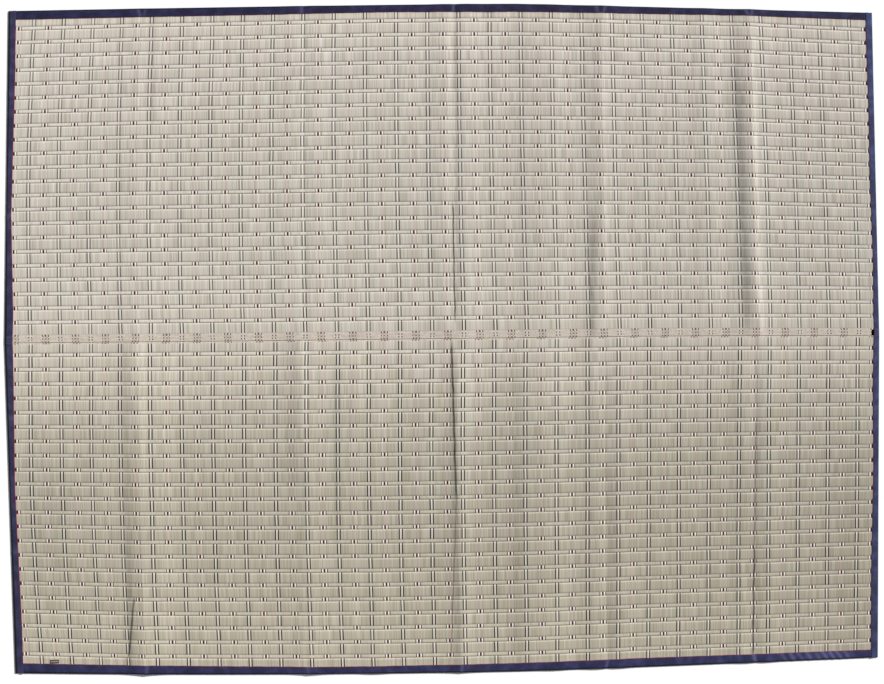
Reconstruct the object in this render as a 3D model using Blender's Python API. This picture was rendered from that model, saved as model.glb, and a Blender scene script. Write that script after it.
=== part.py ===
"""Rush floor mat: two woven widths sewn side by side and bound with cotton tape all round.

Metres, +Z up. +X runs along the mat's length, +Y towards its far long edge, and the mat lies on z = 0.
The origin is on the floor, close to the middle of the seam.
"""

from collections import namedtuple

import bmesh
import bpy
import numpy as np

MM = 0.001

# The fitting gap that neighbouring pieces keep.
GAP = 0.3 * MM

# The bound outline. Both ends have a slight corner where the two widths meet at the seam.
End = namedtuple("End", "far_corner at_seam near_corner flap")
LEFT_END = End(far_corner=-1.240, at_seam=-1.261, near_corner=-1.240, flap=21.0 * MM)
RIGHT_END = End(far_corner=1.247, at_seam=1.261, near_corner=1.249, flap=18.5 * MM)

# Each long edge is a low crown that falls away to the corners.
# Its seat is the strip of cloth that the tape presses flat.
Edge = namedtuple("Edge", "crown crown_x left_drop left_power right_drop right_power seat")
FAR_EDGE = Edge(
    0.9640, 0.20, left_drop=0.0235, left_power=1.30, right_drop=0.0245, right_power=1.08, seat=28.0 * MM
)
NEAR_EDGE = Edge(
    0.9635, 0.20, left_drop=0.0240, left_power=2.00, right_drop=0.0195, right_power=1.20, seat=32.5 * MM
)

# The storage folds across the mat. A positive height is a ridge that stands up along the fold.
# A negative one is a valley: the fold touches the floor, and the cloth beside it stands up.
Fold = namedtuple("Fold", "x far_edge far_seam near_seam near_edge")
FOLDS = (
    Fold(x=-0.891, far_edge=1.5 * MM, far_seam=1.5 * MM, near_seam=3.0 * MM, near_edge=5.0 * MM),
    Fold(x=-0.413, far_edge=-1.5 * MM, far_seam=-1.5 * MM, near_seam=3.5 * MM, near_edge=4.0 * MM),
    Fold(x=0.023, far_edge=-2.5 * MM, far_seam=-2.5 * MM, near_seam=5.0 * MM, near_edge=3.0 * MM),
    Fold(x=0.454, far_edge=3.5 * MM, far_seam=3.0 * MM, near_seam=-1.5 * MM, near_edge=-2.5 * MM),
    Fold(x=0.895, far_edge=5.0 * MM, far_seam=5.0 * MM, near_seam=-2.5 * MM, near_edge=-2.0 * MM),
)
FOLD_REACH = 0.090
FOLD_SHOULDER = 0.035
SHOULDER_SHARE = (1 - FOLD_SHOULDER / FOLD_REACH) ** 2
SEAM_BLEND = 0.109  # on both sides of the seam, one width's folds pass into the other's

# The woven cloth: thick wide bands with thin narrow bands between them.
WIDE_THICK = 2.9 * MM
NARROW_THICK = 2.2 * MM
BOUND_THICK = 1.6 * MM  # pressed flat inside the binding
NARROW_HALF = 6.0 * MM  # from a narrow band's middle to the wide bands beside it
BANDS = 22
# The narrow bands, counted from the seam. They lie a little closer together towards the outer edge.
Bands = namedtuple("Bands", "first pitch closing")
FAR_BANDS = Bands(first=0.0600, pitch=0.04155, closing=0.000036)
NEAR_BANDS = Bands(first=0.0357, pitch=0.04212, closing=0.000026)

# The seam: the far width's thin selvedge lies over the near width's one.
LAP_UNDER = 0.40  # share of the thickness that the lower selvedge takes
LAP_OVER = 0.60  # height at which the upper selvedge starts, as a share of the thickness
LAP_EDGE = 0.0015
LAP_ROOT = 0.0215
LAP_STEP = 0.0240
TONGUE_TIP = 0.0195
TONGUE_ROOT = -0.0030
TONGUE_STEP = -0.0045

# The binding tape, folded round the edge. Along the long edges its flaps are uneven in width.
TAPE_THICK = 0.8 * MM
Flap = namedtuple("Flap", "x width")
FAR_FLAPS = (
    Flap(-1.261, 26.5 * MM), Flap(-0.50, 24.0 * MM), Flap(-0.17, 21.0 * MM),
    Flap(0.12, 24.0 * MM), Flap(0.87, 18.5 * MM), Flap(1.261, 22.5 * MM),
)
NEAR_FLAPS = (
    Flap(-1.261, 31.0 * MM), Flap(-0.34, 21.5 * MM), Flap(0.53, 27.5 * MM), Flap(1.261, 25.0 * MM),
)
SEAT_HEIGHT = TAPE_THICK + GAP  # the bound cloth rests on the tape's lower flap
SEAT_MARGIN = 1.5 * MM
END_SEAT = LEFT_END.flap + SEAT_MARGIN
END_RAMP = 17.0 * MM
EDGE_RAMP = 12.0 * MM
CLOTH_INSET = 1.5 * MM  # from the bound outline to the cloth's own cut edge
NOSE = 0.6 * MM

# The small sewn-in label, bare, beside the near binding.
LABEL_X = -1.149
LABEL_SIZE = (25.0 * MM, 10.0 * MM, 0.6 * MM)

# One row of points along a width: its thickness, where in it the lower and the upper face lie,
# whether it rests on the binding's flap, and whether the lower face needs it.
Row = namedtuple("Row", "y thick low high seat keep")


def end_x(end, v):
    """The bound end's x where v runs from -1 at the near edge over 0 at the seam to 1 at the far edge."""
    corner = end.far_corner if v > 0 else end.near_corner
    return end.at_seam + (corner - end.at_seam) * abs(v)


def edge_y(edge, x):
    """How far the bound long edge lies from the seam at x."""
    if x < edge.crown_x:
        run = (edge.crown_x - x) / (edge.crown_x - LEFT_END.at_seam)
        return edge.crown - edge.left_drop * run**edge.left_power
    run = (x - edge.crown_x) / (RIGHT_END.at_seam - edge.crown_x)
    return edge.crown - edge.right_drop * run**edge.right_power


def fold_height(fold_x, height, x):
    """A fold's lift at x: a ridge is highest on the fold, a valley on the shoulders beside it."""
    away = abs(x - fold_x)
    if away >= FOLD_REACH:
        return 0.0
    if away <= FOLD_SHOULDER:
        along = away / FOLD_SHOULDER
        if height > 0:
            return height * (1 - along * (1 - SHOULDER_SHARE))
        return -height * along
    top = height * SHOULDER_SHARE if height > 0 else -height
    return top * (FOLD_REACH - away) / (FOLD_REACH - FOLD_SHOULDER)


def lift(x, y):
    """How far the folds hold the cloth off the floor at x along the seam and y across the mat."""
    across = min(1.0, max(0.0, 0.5 + 0.5 * y / SEAM_BLEND))
    out_far = min(1.0, max(0.0, (y - SEAM_BLEND) / (FAR_EDGE.crown - SEAM_BLEND)))
    out_near = min(1.0, max(0.0, (-y - SEAM_BLEND) / (NEAR_EDGE.crown - SEAM_BLEND)))
    height = 0.0
    for fold in FOLDS:
        far = fold_height(fold.x, fold.far_seam + (fold.far_edge - fold.far_seam) * out_far, x)
        near = fold_height(fold.x, fold.near_seam + (fold.near_edge - fold.near_seam) * out_near, x)
        height += far * across + near * (1 - across)
    return height


def place(x, y):
    """The floor plan: x along the seam and y at the crown, drawn in to the mat's real outline."""
    edge = FAR_EDGE if y > 0 else NEAR_EDGE
    v = y / edge.crown
    share = (x - LEFT_END.at_seam) / (RIGHT_END.at_seam - LEFT_END.at_seam)
    left = end_x(LEFT_END, v)
    real_x = left + share * (end_x(RIGHT_END, v) - left)
    return real_x, abs(v) * edge_y(edge, x) * (1 if y > 0 else -1)


def stations():
    """The sections along the length: the bound ends, and five for each fold."""
    left = LEFT_END.at_seam
    right = RIGHT_END.at_seam
    found = [(left + CLOTH_INSET, 1.0), (left + END_SEAT, 1.0), (left + END_SEAT + END_RAMP, 0.0)]
    for fold in FOLDS:
        for away in (-FOLD_REACH, -FOLD_SHOULDER, 0.0, FOLD_SHOULDER, FOLD_REACH):
            found.append((fold.x + away, 0.0))
    found += [(right - END_SEAT - END_RAMP, 0.0), (right - END_SEAT, 1.0), (right - CLOTH_INSET, 1.0)]
    return found


def band_rows(bands, sign):
    """Three rows for each narrow band: its middle lies low between the wide bands beside it."""
    rows = []
    for count in range(BANDS):
        middle = bands.first + count * bands.pitch - count**2 * bands.closing
        for away, thick in ((-NARROW_HALF, WIDE_THICK), (0.0, NARROW_THICK), (NARROW_HALF, WIDE_THICK)):
            rows.append(Row(sign * (middle + away), thick, 0.0, 1.0, 0.0, False))
    return rows


def bound_rows(edge, sign):
    """The rows that end a width: pressed flat and raised on to the binding's lower flap."""
    seat = edge.crown - edge.seat
    return [
        Row(sign * (seat - EDGE_RAMP), WIDE_THICK, 0.0, 1.0, 0.0, True),
        Row(sign * seat, BOUND_THICK, 0.0, 1.0, 1.0, True),
        Row(sign * (edge.crown - CLOTH_INSET), BOUND_THICK, 0.0, 1.0, 1.0, True),
    ]


def far_rows():
    """The far width's rows, from its selvedge over the seam out to the far edge."""
    rows = [
        Row(LAP_EDGE, WIDE_THICK, LAP_OVER, 1.0, 0.0, True),
        Row(LAP_ROOT, WIDE_THICK, LAP_OVER, 1.0, 0.0, True),
        Row(LAP_STEP, WIDE_THICK, 0.0, 1.0, 0.0, True),
    ]
    rows += band_rows(FAR_BANDS, 1)
    rows.append(Row(SEAM_BLEND, WIDE_THICK, 0.0, 1.0, 0.0, True))
    rows.sort(key=lambda row: row.y)
    return rows + bound_rows(FAR_EDGE, 1)


def near_rows():
    """The near width's rows, from its selvedge under the seam out to the near edge."""
    rows = band_rows(NEAR_BANDS, -1)
    rows.append(Row(-SEAM_BLEND, WIDE_THICK, 0.0, 1.0, 0.0, True))
    rows.sort(key=lambda row: -row.y)
    start = [
        Row(TONGUE_TIP, WIDE_THICK, 0.0, LAP_UNDER, 0.0, True),
        Row(TONGUE_ROOT, WIDE_THICK, 0.0, LAP_UNDER, 0.0, True),
        Row(TONGUE_STEP, WIDE_THICK, 0.0, 1.0, 0.0, True),
    ]
    return start + rows + bound_rows(NEAR_EDGE, -1)


def cloth_point(station, row, top):
    """One point of a woven width, on its upper or lower face."""
    x, end_seat = station
    seat = max(end_seat, row.seat)
    thick = row.thick + (BOUND_THICK - row.thick) * end_seat
    share = row.high if top else row.low
    real_x, real_y = place(x, row.y)
    return real_x, real_y, lift(x, row.y) + seat * SEAT_HEIGHT + share * thick


def make_object(name, bm, material):
    """Recalculates the normals, shades softly and links a finished mesh."""
    bmesh.ops.recalc_face_normals(bm, faces=bm.faces)
    mesh = bpy.data.meshes.new(name)
    bm.to_mesh(mesh)
    bm.free()
    mesh.materials.append(material)
    made = bpy.data.objects.new(name, mesh)
    bpy.context.scene.collection.objects.link(made)
    mesh.shade_smooth()
    mesh.set_sharp_from_angle(angle=0.6)
    return made


def make_material(name, colour, roughness):
    material = bpy.data.materials.new(name)
    material.use_nodes = True
    shader = material.node_tree.nodes["Principled BSDF"]
    shader.inputs["Base Color"].default_value = (*colour, 1.0)
    shader.inputs["Roughness"].default_value = roughness
    shader.inputs["Metallic"].default_value = 0.0
    return material


def make_panel(name, rows, material):
    """A woven width: a grid of stations and rows, extruded to a closed sheet and shaped row by row."""
    columns = stations()
    bm = bmesh.new()
    bmesh.ops.create_grid(bm, x_segments=len(columns) - 1, y_segments=len(rows) - 1, size=1.0)
    for vert in bm.verts:
        column = round((vert.co.x + 1) / 2 * (len(columns) - 1))
        row = round((vert.co.y + 1) / 2 * (len(rows) - 1))
        vert.co = (column, row, 0)
    lower = list(bm.faces)
    made = bmesh.ops.extrude_face_region(bm, geom=lower, use_keep_orig=True)
    for item in made["geom"]:
        if isinstance(item, bmesh.types.BMVert):
            item.co.z = 1
    plain = [edge for edge in bm.edges if is_plain_lower_row(edge, rows, len(columns) - 1)]
    for vert in bm.verts:
        column, row, top = (round(value) for value in vert.co)
        vert.co = cloth_point(columns[column], rows[row], top == 1)
    bmesh.ops.dissolve_edges(bm, edges=plain, use_verts=True)
    return make_object(name, bm, material)


def is_plain_lower_row(edge, rows, last_column):
    """Whether an edge of the index grid is a row of the lower face that its shape can do without."""
    first, second = (vert.co for vert in edge.verts)
    if first.z > 0.5 or second.z > 0.5 or round(first.y) != round(second.y):
        return False
    return not rows[round(first.y)].keep


def tape_section(flap, inner_top):
    """The folded tape's cross-section as (distance in from the outline, height), outside then inside."""
    top = SEAT_HEIGHT + inner_top + GAP + TAPE_THICK
    outside = [(flap, 0.0), (NOSE, 0.0), (0.0, NOSE), (0.0, top - NOSE), (NOSE, top), (flap, top)]
    inner = TAPE_THICK
    inside = [(flap, top - TAPE_THICK), (inner, top - TAPE_THICK), (inner, TAPE_THICK), (flap, TAPE_THICK)]
    return outside + inside


def sweep(bm, sections):
    """Joins closed rings of points, one for each section along a strip, and caps both ends."""
    rings = []
    for points in sections:
        rings.append([bm.verts.new(point) for point in points])
    for ring, following in zip(rings, rings[1:]):
        for index, point in enumerate(ring):
            after = (index + 1) % len(ring)
            bm.faces.new((point, ring[after], following[after], following[index]))
    bm.faces.new(rings[0])
    bm.faces.new(rings[-1])


def flap_at(flaps, x):
    """The tape's flap width at x."""
    return float(np.interp(x, [flap.x for flap in flaps], [flap.width for flap in flaps]))


def make_long_binding(name, edge, flaps, sign, material):
    """A tape along a long edge, between the two side tapes, rising over each fold."""
    start = LEFT_END.at_seam + LEFT_END.flap + GAP
    stop = RIGHT_END.at_seam - RIGHT_END.flap - GAP
    along = [start] + [x for x, _ in stations() if start < x < stop] + [stop]
    sections = []
    for x in along:
        ring = []
        for inward, height in tape_section(flap_at(flaps, x), BOUND_THICK):
            real_x, real_y = place(x, sign * (edge.crown - inward))
            ring.append((real_x, real_y, height + lift(x, sign * (edge.crown - inward))))
        sections.append(ring)
    bm = bmesh.new()
    sweep(bm, sections)
    return make_object(name, bm, material)


def make_side_binding(name, end, sign, material):
    """A tape round a short end, running out to both corners."""
    section = tape_section(end.flap, BOUND_THICK)
    along = (-NEAR_EDGE.crown, -NEAR_EDGE.crown / 2, 0.0, FAR_EDGE.crown / 2, FAR_EDGE.crown)
    sections = []
    for y in along:
        ring = []
        for inward, height in section:
            real_x, real_y = place(end.at_seam - sign * inward, y)
            ring.append((real_x, real_y, height))
        sections.append(ring)
    bm = bmesh.new()
    sweep(bm, sections)
    return make_object(name, bm, material)


def make_label(name, material):
    """A small bare label that lies on the cloth and meets the near binding's flap."""
    width, depth, thick = LABEL_SIZE
    real_x = place(LABEL_X, -NEAR_EDGE.crown)[0]
    meets = []
    for x in (LABEL_X - width / 2, LABEL_X + width / 2):
        meets.append(place(x, flap_at(NEAR_FLAPS, x) - NEAR_EDGE.crown)[1])
    real_y = GAP + max(meets)
    bm = bmesh.new()
    bmesh.ops.create_cube(bm, size=1.0)
    bmesh.ops.scale(bm, vec=LABEL_SIZE, verts=bm.verts)
    height = WIDE_THICK + GAP + thick / 2
    bmesh.ops.translate(bm, vec=(real_x, real_y + depth / 2, height), verts=bm.verts)
    return make_object(name, bm, material)


def clear_scene():
    for old in list(bpy.data.objects):
        bpy.data.objects.remove(old, do_unlink=True)


def main():
    clear_scene()
    rush = make_material("rush", colour=(0.57, 0.52, 0.42), roughness=0.62)
    cotton = make_material("navy cotton", colour=(0.034, 0.032, 0.065), roughness=0.85)
    label = make_material("label cloth", colour=(0.030, 0.028, 0.030), roughness=0.70)
    make_panel("rush_width_far", far_rows(), rush)
    make_panel("rush_width_near", near_rows(), rush)
    make_long_binding("binding_far", FAR_EDGE, FAR_FLAPS, 1, cotton)
    make_long_binding("binding_near", NEAR_EDGE, NEAR_FLAPS, -1, cotton)
    make_side_binding("binding_left", LEFT_END, -1, cotton)
    make_side_binding("binding_right", RIGHT_END, 1, cotton)
    make_label("label", label)


main()
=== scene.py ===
# %% [markdown]
# # A rush floor mat, bound with cotton tape
# The real mat is two widths of woven rush, sewn together along their inner selvedges and bound all round
# with a navy cotton tape. It was stored folded, so it lies with low ridges and valleys across it.
# The CAD frame already holds the outline, the main folds and the sizes. This lesson dresses it: finer cloth,
# folded tapes, stitches, and materials that are worked out from the weave itself.
# Everything is in metres, and every piece is modelled where it lies, so its object stays at the origin.

# %% Load the frame
from collections import namedtuple

import bmesh
import bpy
import numpy as np
from mathutils import Matrix, Vector


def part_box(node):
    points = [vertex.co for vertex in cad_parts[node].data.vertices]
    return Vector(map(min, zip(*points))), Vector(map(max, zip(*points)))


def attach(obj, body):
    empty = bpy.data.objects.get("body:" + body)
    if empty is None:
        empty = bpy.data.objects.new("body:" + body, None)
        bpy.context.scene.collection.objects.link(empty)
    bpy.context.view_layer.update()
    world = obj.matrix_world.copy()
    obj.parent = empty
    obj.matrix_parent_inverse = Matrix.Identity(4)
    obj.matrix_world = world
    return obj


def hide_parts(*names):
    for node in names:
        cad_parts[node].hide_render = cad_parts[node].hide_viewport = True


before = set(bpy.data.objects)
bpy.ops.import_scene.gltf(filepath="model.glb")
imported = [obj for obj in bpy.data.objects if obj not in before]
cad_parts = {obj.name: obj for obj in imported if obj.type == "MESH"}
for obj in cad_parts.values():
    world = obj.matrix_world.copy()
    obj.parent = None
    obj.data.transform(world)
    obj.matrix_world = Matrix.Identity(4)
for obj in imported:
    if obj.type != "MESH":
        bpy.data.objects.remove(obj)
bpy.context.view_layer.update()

MM = 0.001
TURN = 2 * np.pi
print("CAD nodes:", ", ".join(sorted(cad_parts)))

# %% [markdown]
# ## The camera
# The mat was seen from straight above. A 50 mm lens at 3.5 m shows its bent ends and crowned edges as they
# are, and its small tilt of 2.4 degrees to one side matches the way the outline narrows to the right.

# %% Camera
CAMERA_PLACE = (-0.1635, 0.0024, 3.535)
CAMERA_TURN = (-0.00305, -0.04116, -0.00928)
CAMERA_LENS = 50.0
SENSOR_WIDTH = 36.0

camera_data = bpy.data.cameras.new("camera")
camera_data.lens = CAMERA_LENS
camera_data.sensor_width = SENSOR_WIDTH
camera = bpy.data.objects.new("camera", camera_data)
camera.location = CAMERA_PLACE
camera.rotation_euler = CAMERA_TURN
bpy.context.scene.collection.objects.link(camera)
bpy.context.scene.camera = camera
print("camera height", CAMERA_PLACE[2], "m")

# %% [markdown]
# ## The plan of the mat
# A hand-bound mat is never a true rectangle. Its short ends have a slight corner where the seam meets them,
# and each long edge is a low crown that falls away to the corners. The mat is drawn up straight first, with x
# along the seam and y across, and `place` then draws every point in to the real outline. So rows, columns,
# tapes and stitches all share one plan, and they stay together when a size changes.

# %% Outline
End = namedtuple("End", "far_corner at_seam near_corner")
LEFT_END = End(far_corner=-1.240, at_seam=-1.261, near_corner=-1.240)
RIGHT_END = End(far_corner=1.247, at_seam=1.261, near_corner=1.249)
Edge = namedtuple("Edge", "crown crown_x left_drop left_power right_drop right_power seat")
FAR_EDGE = Edge(
    0.9640, 0.20, left_drop=0.0235, left_power=1.30, right_drop=0.0245, right_power=1.08, seat=28.0 * MM
)
NEAR_EDGE = Edge(
    0.9635, 0.20, left_drop=0.0240, left_power=2.00, right_drop=0.0195, right_power=1.20, seat=32.5 * MM
)


def edge_y(edge, x):
    """How far the bound long edge lies from the seam at x."""
    left = np.clip((edge.crown_x - x) / (edge.crown_x - LEFT_END.at_seam), 0, None)
    right = np.clip((x - edge.crown_x) / (RIGHT_END.at_seam - edge.crown_x), 0, None)
    return edge.crown - edge.left_drop * left**edge.left_power - edge.right_drop * right**edge.right_power


def end_x(end, far, v):
    """The bound end's x, where v runs from 0 at the seam to 1 at the long edge."""
    corner = np.where(far, end.far_corner, end.near_corner)
    return end.at_seam + (corner - end.at_seam) * v


def place(x, y):
    """Draws points from the straight plan in to the mat's real outline."""
    far = y > 0
    v = np.abs(y) / np.where(far, FAR_EDGE.crown, NEAR_EDGE.crown)
    left = end_x(LEFT_END, far, v)
    right = end_x(RIGHT_END, far, v)
    share = (x - LEFT_END.at_seam) / (RIGHT_END.at_seam - LEFT_END.at_seam)
    reach = np.where(far, edge_y(FAR_EDGE, x), edge_y(NEAR_EDGE, x))
    return left + share * (right - left), np.sign(y) * v * reach


print("length at the seam", round(RIGHT_END.at_seam - LEFT_END.at_seam, 3), "m")

# %% [markdown]
# The rows of the weave aren't quite straight either. They sag by a few millimetres, most at the right end of
# the seam. A table gives the sag along the mat, and `settle` moves the rows by it, but not under the tapes.

# %% Sag of the rows
Sag = namedtuple("Sag", "x far seam near")
SAG = (
    Sag(x=-1.232, far=-4.7 * MM, seam=-2.0 * MM, near=2.5 * MM),
    Sag(x=-0.892, far=-2.0 * MM, seam=-2.3 * MM, near=-2.3 * MM),
    Sag(x=-0.541, far=-1.1 * MM, seam=-2.3 * MM, near=-3.5 * MM),
    Sag(x=-0.182, far=1.3 * MM, seam=-1.3 * MM, near=-4.2 * MM),
    Sag(x=0.181, far=0.5 * MM, seam=-0.4 * MM, near=-2.5 * MM),
    Sag(x=0.540, far=1.9 * MM, seam=0.7 * MM, near=-0.7 * MM),
    Sag(x=0.895, far=2.4 * MM, seam=-0.7 * MM, near=-2.0 * MM),
    Sag(x=1.244, far=-4.0 * MM, seam=-4.2 * MM, near=-2.9 * MM),
)
SAG_REACH = 0.55  # over this distance the seam's sag passes into the width's own
SAG_STOP = (0.936, 0.956)


def smooth_step(value, start, stop):
    share = np.clip((value - start) / (stop - start), 0, 1)
    return share * share * (3 - 2 * share)


def settle(x, y):
    """The sagged y of points of the cloth."""
    places = [sag.x for sag in SAG]
    far = np.interp(x, places, [sag.far for sag in SAG])
    seam = np.interp(x, places, [sag.seam for sag in SAG])
    near = np.interp(x, places, [sag.near for sag in SAG])
    sag = seam + (np.where(y > 0, far, near) - seam) * np.clip(np.abs(y) / SAG_REACH, 0, 1)
    return y + sag * (1 - smooth_step(np.abs(y), *SAG_STOP))


print("largest sag", 1000 * max(abs(value) for sag in SAG for value in sag[1:]), "mm")

# %% [markdown]
# ## Storage folds and soft waves
# Five folds cross the mat. At a ridge the cloth stands up along a sharp crest. At a valley the crease touches
# the floor and the cloth beside it stands up. The heights are the frame's own, and the curves between them
# are finer. Cloth simulation could drape the mat, but a flat sheet on a floor would only lie still, so the
# folds are placed by formula. Each crease wanders a few millimetres from band to band, as real ones do.

# %% Folds
Fold = namedtuple("Fold", "x far_edge far_seam near_seam near_edge")
FOLDS = (
    Fold(x=-0.891, far_edge=1.5 * MM, far_seam=1.5 * MM, near_seam=3.0 * MM, near_edge=5.0 * MM),
    Fold(x=-0.413, far_edge=-1.5 * MM, far_seam=-1.5 * MM, near_seam=3.5 * MM, near_edge=4.0 * MM),
    Fold(x=0.023, far_edge=-2.5 * MM, far_seam=-2.5 * MM, near_seam=5.0 * MM, near_edge=3.0 * MM),
    Fold(x=0.454, far_edge=3.5 * MM, far_seam=3.0 * MM, near_seam=-1.5 * MM, near_edge=-2.5 * MM),
    Fold(x=0.895, far_edge=5.0 * MM, far_seam=5.0 * MM, near_seam=-2.5 * MM, near_edge=-2.0 * MM),
)
FOLD_REACH = 0.090
SEAM_BLEND = 0.109
VALLEY_PEAK = 6.75  # makes a valley's shoulders as high as its height says

Wave = namedtuple("Wave", "x reach far near")
WAVES = (
    Wave(x=0.297, reach=0.060, far=1.8 * MM, near=1.5 * MM),
    Wave(x=0.758, reach=0.055, far=2.2 * MM, near=0.0),
    Wave(x=-0.228, reach=0.060, far=0.0, near=2.0 * MM),
)


def fold_height(away, height):
    """The cloth's lift beside a crease: a crest for a positive height, two shoulders for a negative one."""
    share = np.clip(np.abs(away) / FOLD_REACH, 0, 1)
    return np.where(height > 0, height * (1 - share) ** 2, -height * VALLEY_PEAK * share * (1 - share) ** 2)


def hump(away, reach):
    """A round wave, 1 at its middle and 0 past its reach."""
    return np.clip(1 - (away / reach) ** 2, 0, 1) ** 2


def lift(x, y):
    """How far folds and waves hold the cloth off the floor."""
    across = np.clip(0.5 + 0.5 * y / SEAM_BLEND, 0, 1)
    out_far = np.clip((y - SEAM_BLEND) / (FAR_EDGE.crown - SEAM_BLEND), 0, 1)
    out_near = np.clip((-y - SEAM_BLEND) / (NEAR_EDGE.crown - SEAM_BLEND), 0, 1)
    height = 0.0
    for fold in FOLDS:
        far = fold_height(x - fold.x, fold.far_seam + (fold.far_edge - fold.far_seam) * out_far)
        near = fold_height(x - fold.x, fold.near_seam + (fold.near_edge - fold.near_seam) * out_near)
        height = height + far * across + near * (1 - across)
    for wave in WAVES:
        height = height + (wave.far * across + wave.near * (1 - across)) * hump(x - wave.x, wave.reach)
    return height


def ripple(x, y, length, seed):
    """A gentle unevenness from -1 to 1, made of crossed waves of about this length."""
    phase = 2.4 * seed
    first = np.sin(TURN * x / length + phase + 1.3 * np.sin(TURN * y / (1.7 * length) + phase))
    second = np.sin(TURN * y / (0.8 * length) - phase + 1.1 * np.sin(TURN * x / (2.3 * length)))
    return 0.5 * first + 0.5 * second


WANDER_SPAN = 0.055
WANDER_SLOW = 1.6 * MM
WANDER_QUICK = 0.9 * MM


def wander(x, y):
    """Moves points near a crease sideways, so that the crease isn't a ruled line."""
    moved = x
    for number, fold in enumerate(FOLDS):
        near = np.exp(-(((x - fold.x) / WANDER_SPAN) ** 2))
        slow = WANDER_SLOW * np.sin(TURN * y / 0.37 + 1.7 * number)
        quick = WANDER_QUICK * np.sin(TURN * y / 0.083 + 2.9 * number)
        moved = moved + near * (slow + quick)
    return moved


print("folds at x =", ", ".join(str(fold.x) for fold in FOLDS))

# %% [markdown]
# Rush that has been folded for years is bruised along the crease and stays darker there. Beside the folds the
# cloth is also drawn darker and paler along lines as painted shade on slopes turned away from the light and
# painted highlight on slopes turned towards it. So a second table lists these marks as lines across a width,
# from the seam to the edge. Each one has a place, a half width and a strength, where a negative one is paler.

# %% Painted shade, painted highlight and bruises beside the folds
ShadeAndBruise = namedtuple("ShadeAndBruise", "at_seam at_edge start stop half dark")
FAR_SHADE_AND_BRUISES = (
    ShadeAndBruise(-1.2385, -1.2385, start=-0.10, stop=1.10, half=5 * MM, dark=-0.07),
    ShadeAndBruise(-0.9361, -0.9431, start=0.02, stop=0.95, half=6 * MM, dark=0.12),
    ShadeAndBruise(-0.8457, -0.8515, start=0.65, stop=1.05, half=9 * MM, dark=0.20),
    ShadeAndBruise(0.0175, 0.0240, start=-0.10, stop=0.95, half=8 * MM, dark=0.12),
    ShadeAndBruise(0.0000, 0.0060, start=0.30, stop=1.00, half=6 * MM, dark=-0.10),
    ShadeAndBruise(0.2170, 0.2160, start=-0.10, stop=1.05, half=18 * MM, dark=0.12),
    ShadeAndBruise(0.4160, 0.4345, start=-0.05, stop=0.35, half=14 * MM, dark=0.36),
    ShadeAndBruise(0.4160, 0.4345, start=0.30, stop=1.00, half=20 * MM, dark=0.10),
    ShadeAndBruise(0.4560, 0.4600, start=-0.05, stop=0.90, half=7 * MM, dark=-0.12),
    ShadeAndBruise(0.8717, 0.8505, start=0.02, stop=0.80, half=15 * MM, dark=0.41),
    ShadeAndBruise(0.8747, 0.8535, start=0.75, stop=1.05, half=18 * MM, dark=0.10),
    ShadeAndBruise(0.9142, 0.8963, start=-0.10, stop=0.90, half=8 * MM, dark=-0.22),
)
NEAR_SHADE_AND_BRUISES = (
    ShadeAndBruise(-1.2385, -1.2385, start=-0.10, stop=1.10, half=5 * MM, dark=-0.07),
    ShadeAndBruise(-0.9253, -0.9296, start=-0.05, stop=0.65, half=12 * MM, dark=0.18),
    ShadeAndBruise(-0.9253, -0.9296, start=0.62, stop=1.05, half=11 * MM, dark=0.30),
    ShadeAndBruise(-0.8713, -0.8868, start=-0.10, stop=0.42, half=9 * MM, dark=-0.16),
    ShadeAndBruise(-0.7948, -0.8194, start=0.05, stop=0.95, half=26 * MM, dark=-0.10),
    ShadeAndBruise(-0.4510, -0.4708, start=-0.10, stop=0.45, half=16 * MM, dark=0.16),
    ShadeAndBruise(-0.4140, -0.4295, start=-0.05, stop=0.35, half=6 * MM, dark=-0.24),
    ShadeAndBruise(-0.4140, -0.4295, start=0.60, stop=1.00, half=6 * MM, dark=-0.14),
    ShadeAndBruise(-0.3196, -0.3375, start=0.08, stop=0.55, half=8 * MM, dark=0.28),
    ShadeAndBruise(-0.2535, -0.2783, start=-0.05, stop=0.90, half=18 * MM, dark=-0.14),
    ShadeAndBruise(-0.0407, -0.0677, start=-0.10, stop=0.55, half=16 * MM, dark=-0.12),
    ShadeAndBruise(0.0120, 0.0150, start=0.02, stop=1.05, half=11 * MM, dark=0.22),
    ShadeAndBruise(0.0500, 0.0480, start=0.05, stop=1.00, half=12 * MM, dark=-0.08),
    ShadeAndBruise(0.1953, 0.1912, start=0.05, stop=1.05, half=24 * MM, dark=0.17),
    ShadeAndBruise(0.3088, 0.2996, start=-0.05, stop=1.05, half=52 * MM, dark=-0.07),
    ShadeAndBruise(0.4106, 0.4028, start=-0.10, stop=0.28, half=9 * MM, dark=0.10),
    ShadeAndBruise(0.4768, 0.4739, start=0.40, stop=1.05, half=12 * MM, dark=0.12),
    ShadeAndBruise(0.8950, 0.8863, start=0.10, stop=1.10, half=9 * MM, dark=0.14),
    ShadeAndBruise(0.8611, 0.8598, start=0.65, stop=1.05, half=12 * MM, dark=-0.12),
    ShadeAndBruise(1.1665, 1.1773, start=0.30, stop=1.10, half=50 * MM, dark=0.09),
    ShadeAndBruise(-1.1600, -1.1500, start=0.35, stop=0.80, half=80 * MM, dark=0.09),
)
SHADE_AND_BRUISE_FADE = 0.08


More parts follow.
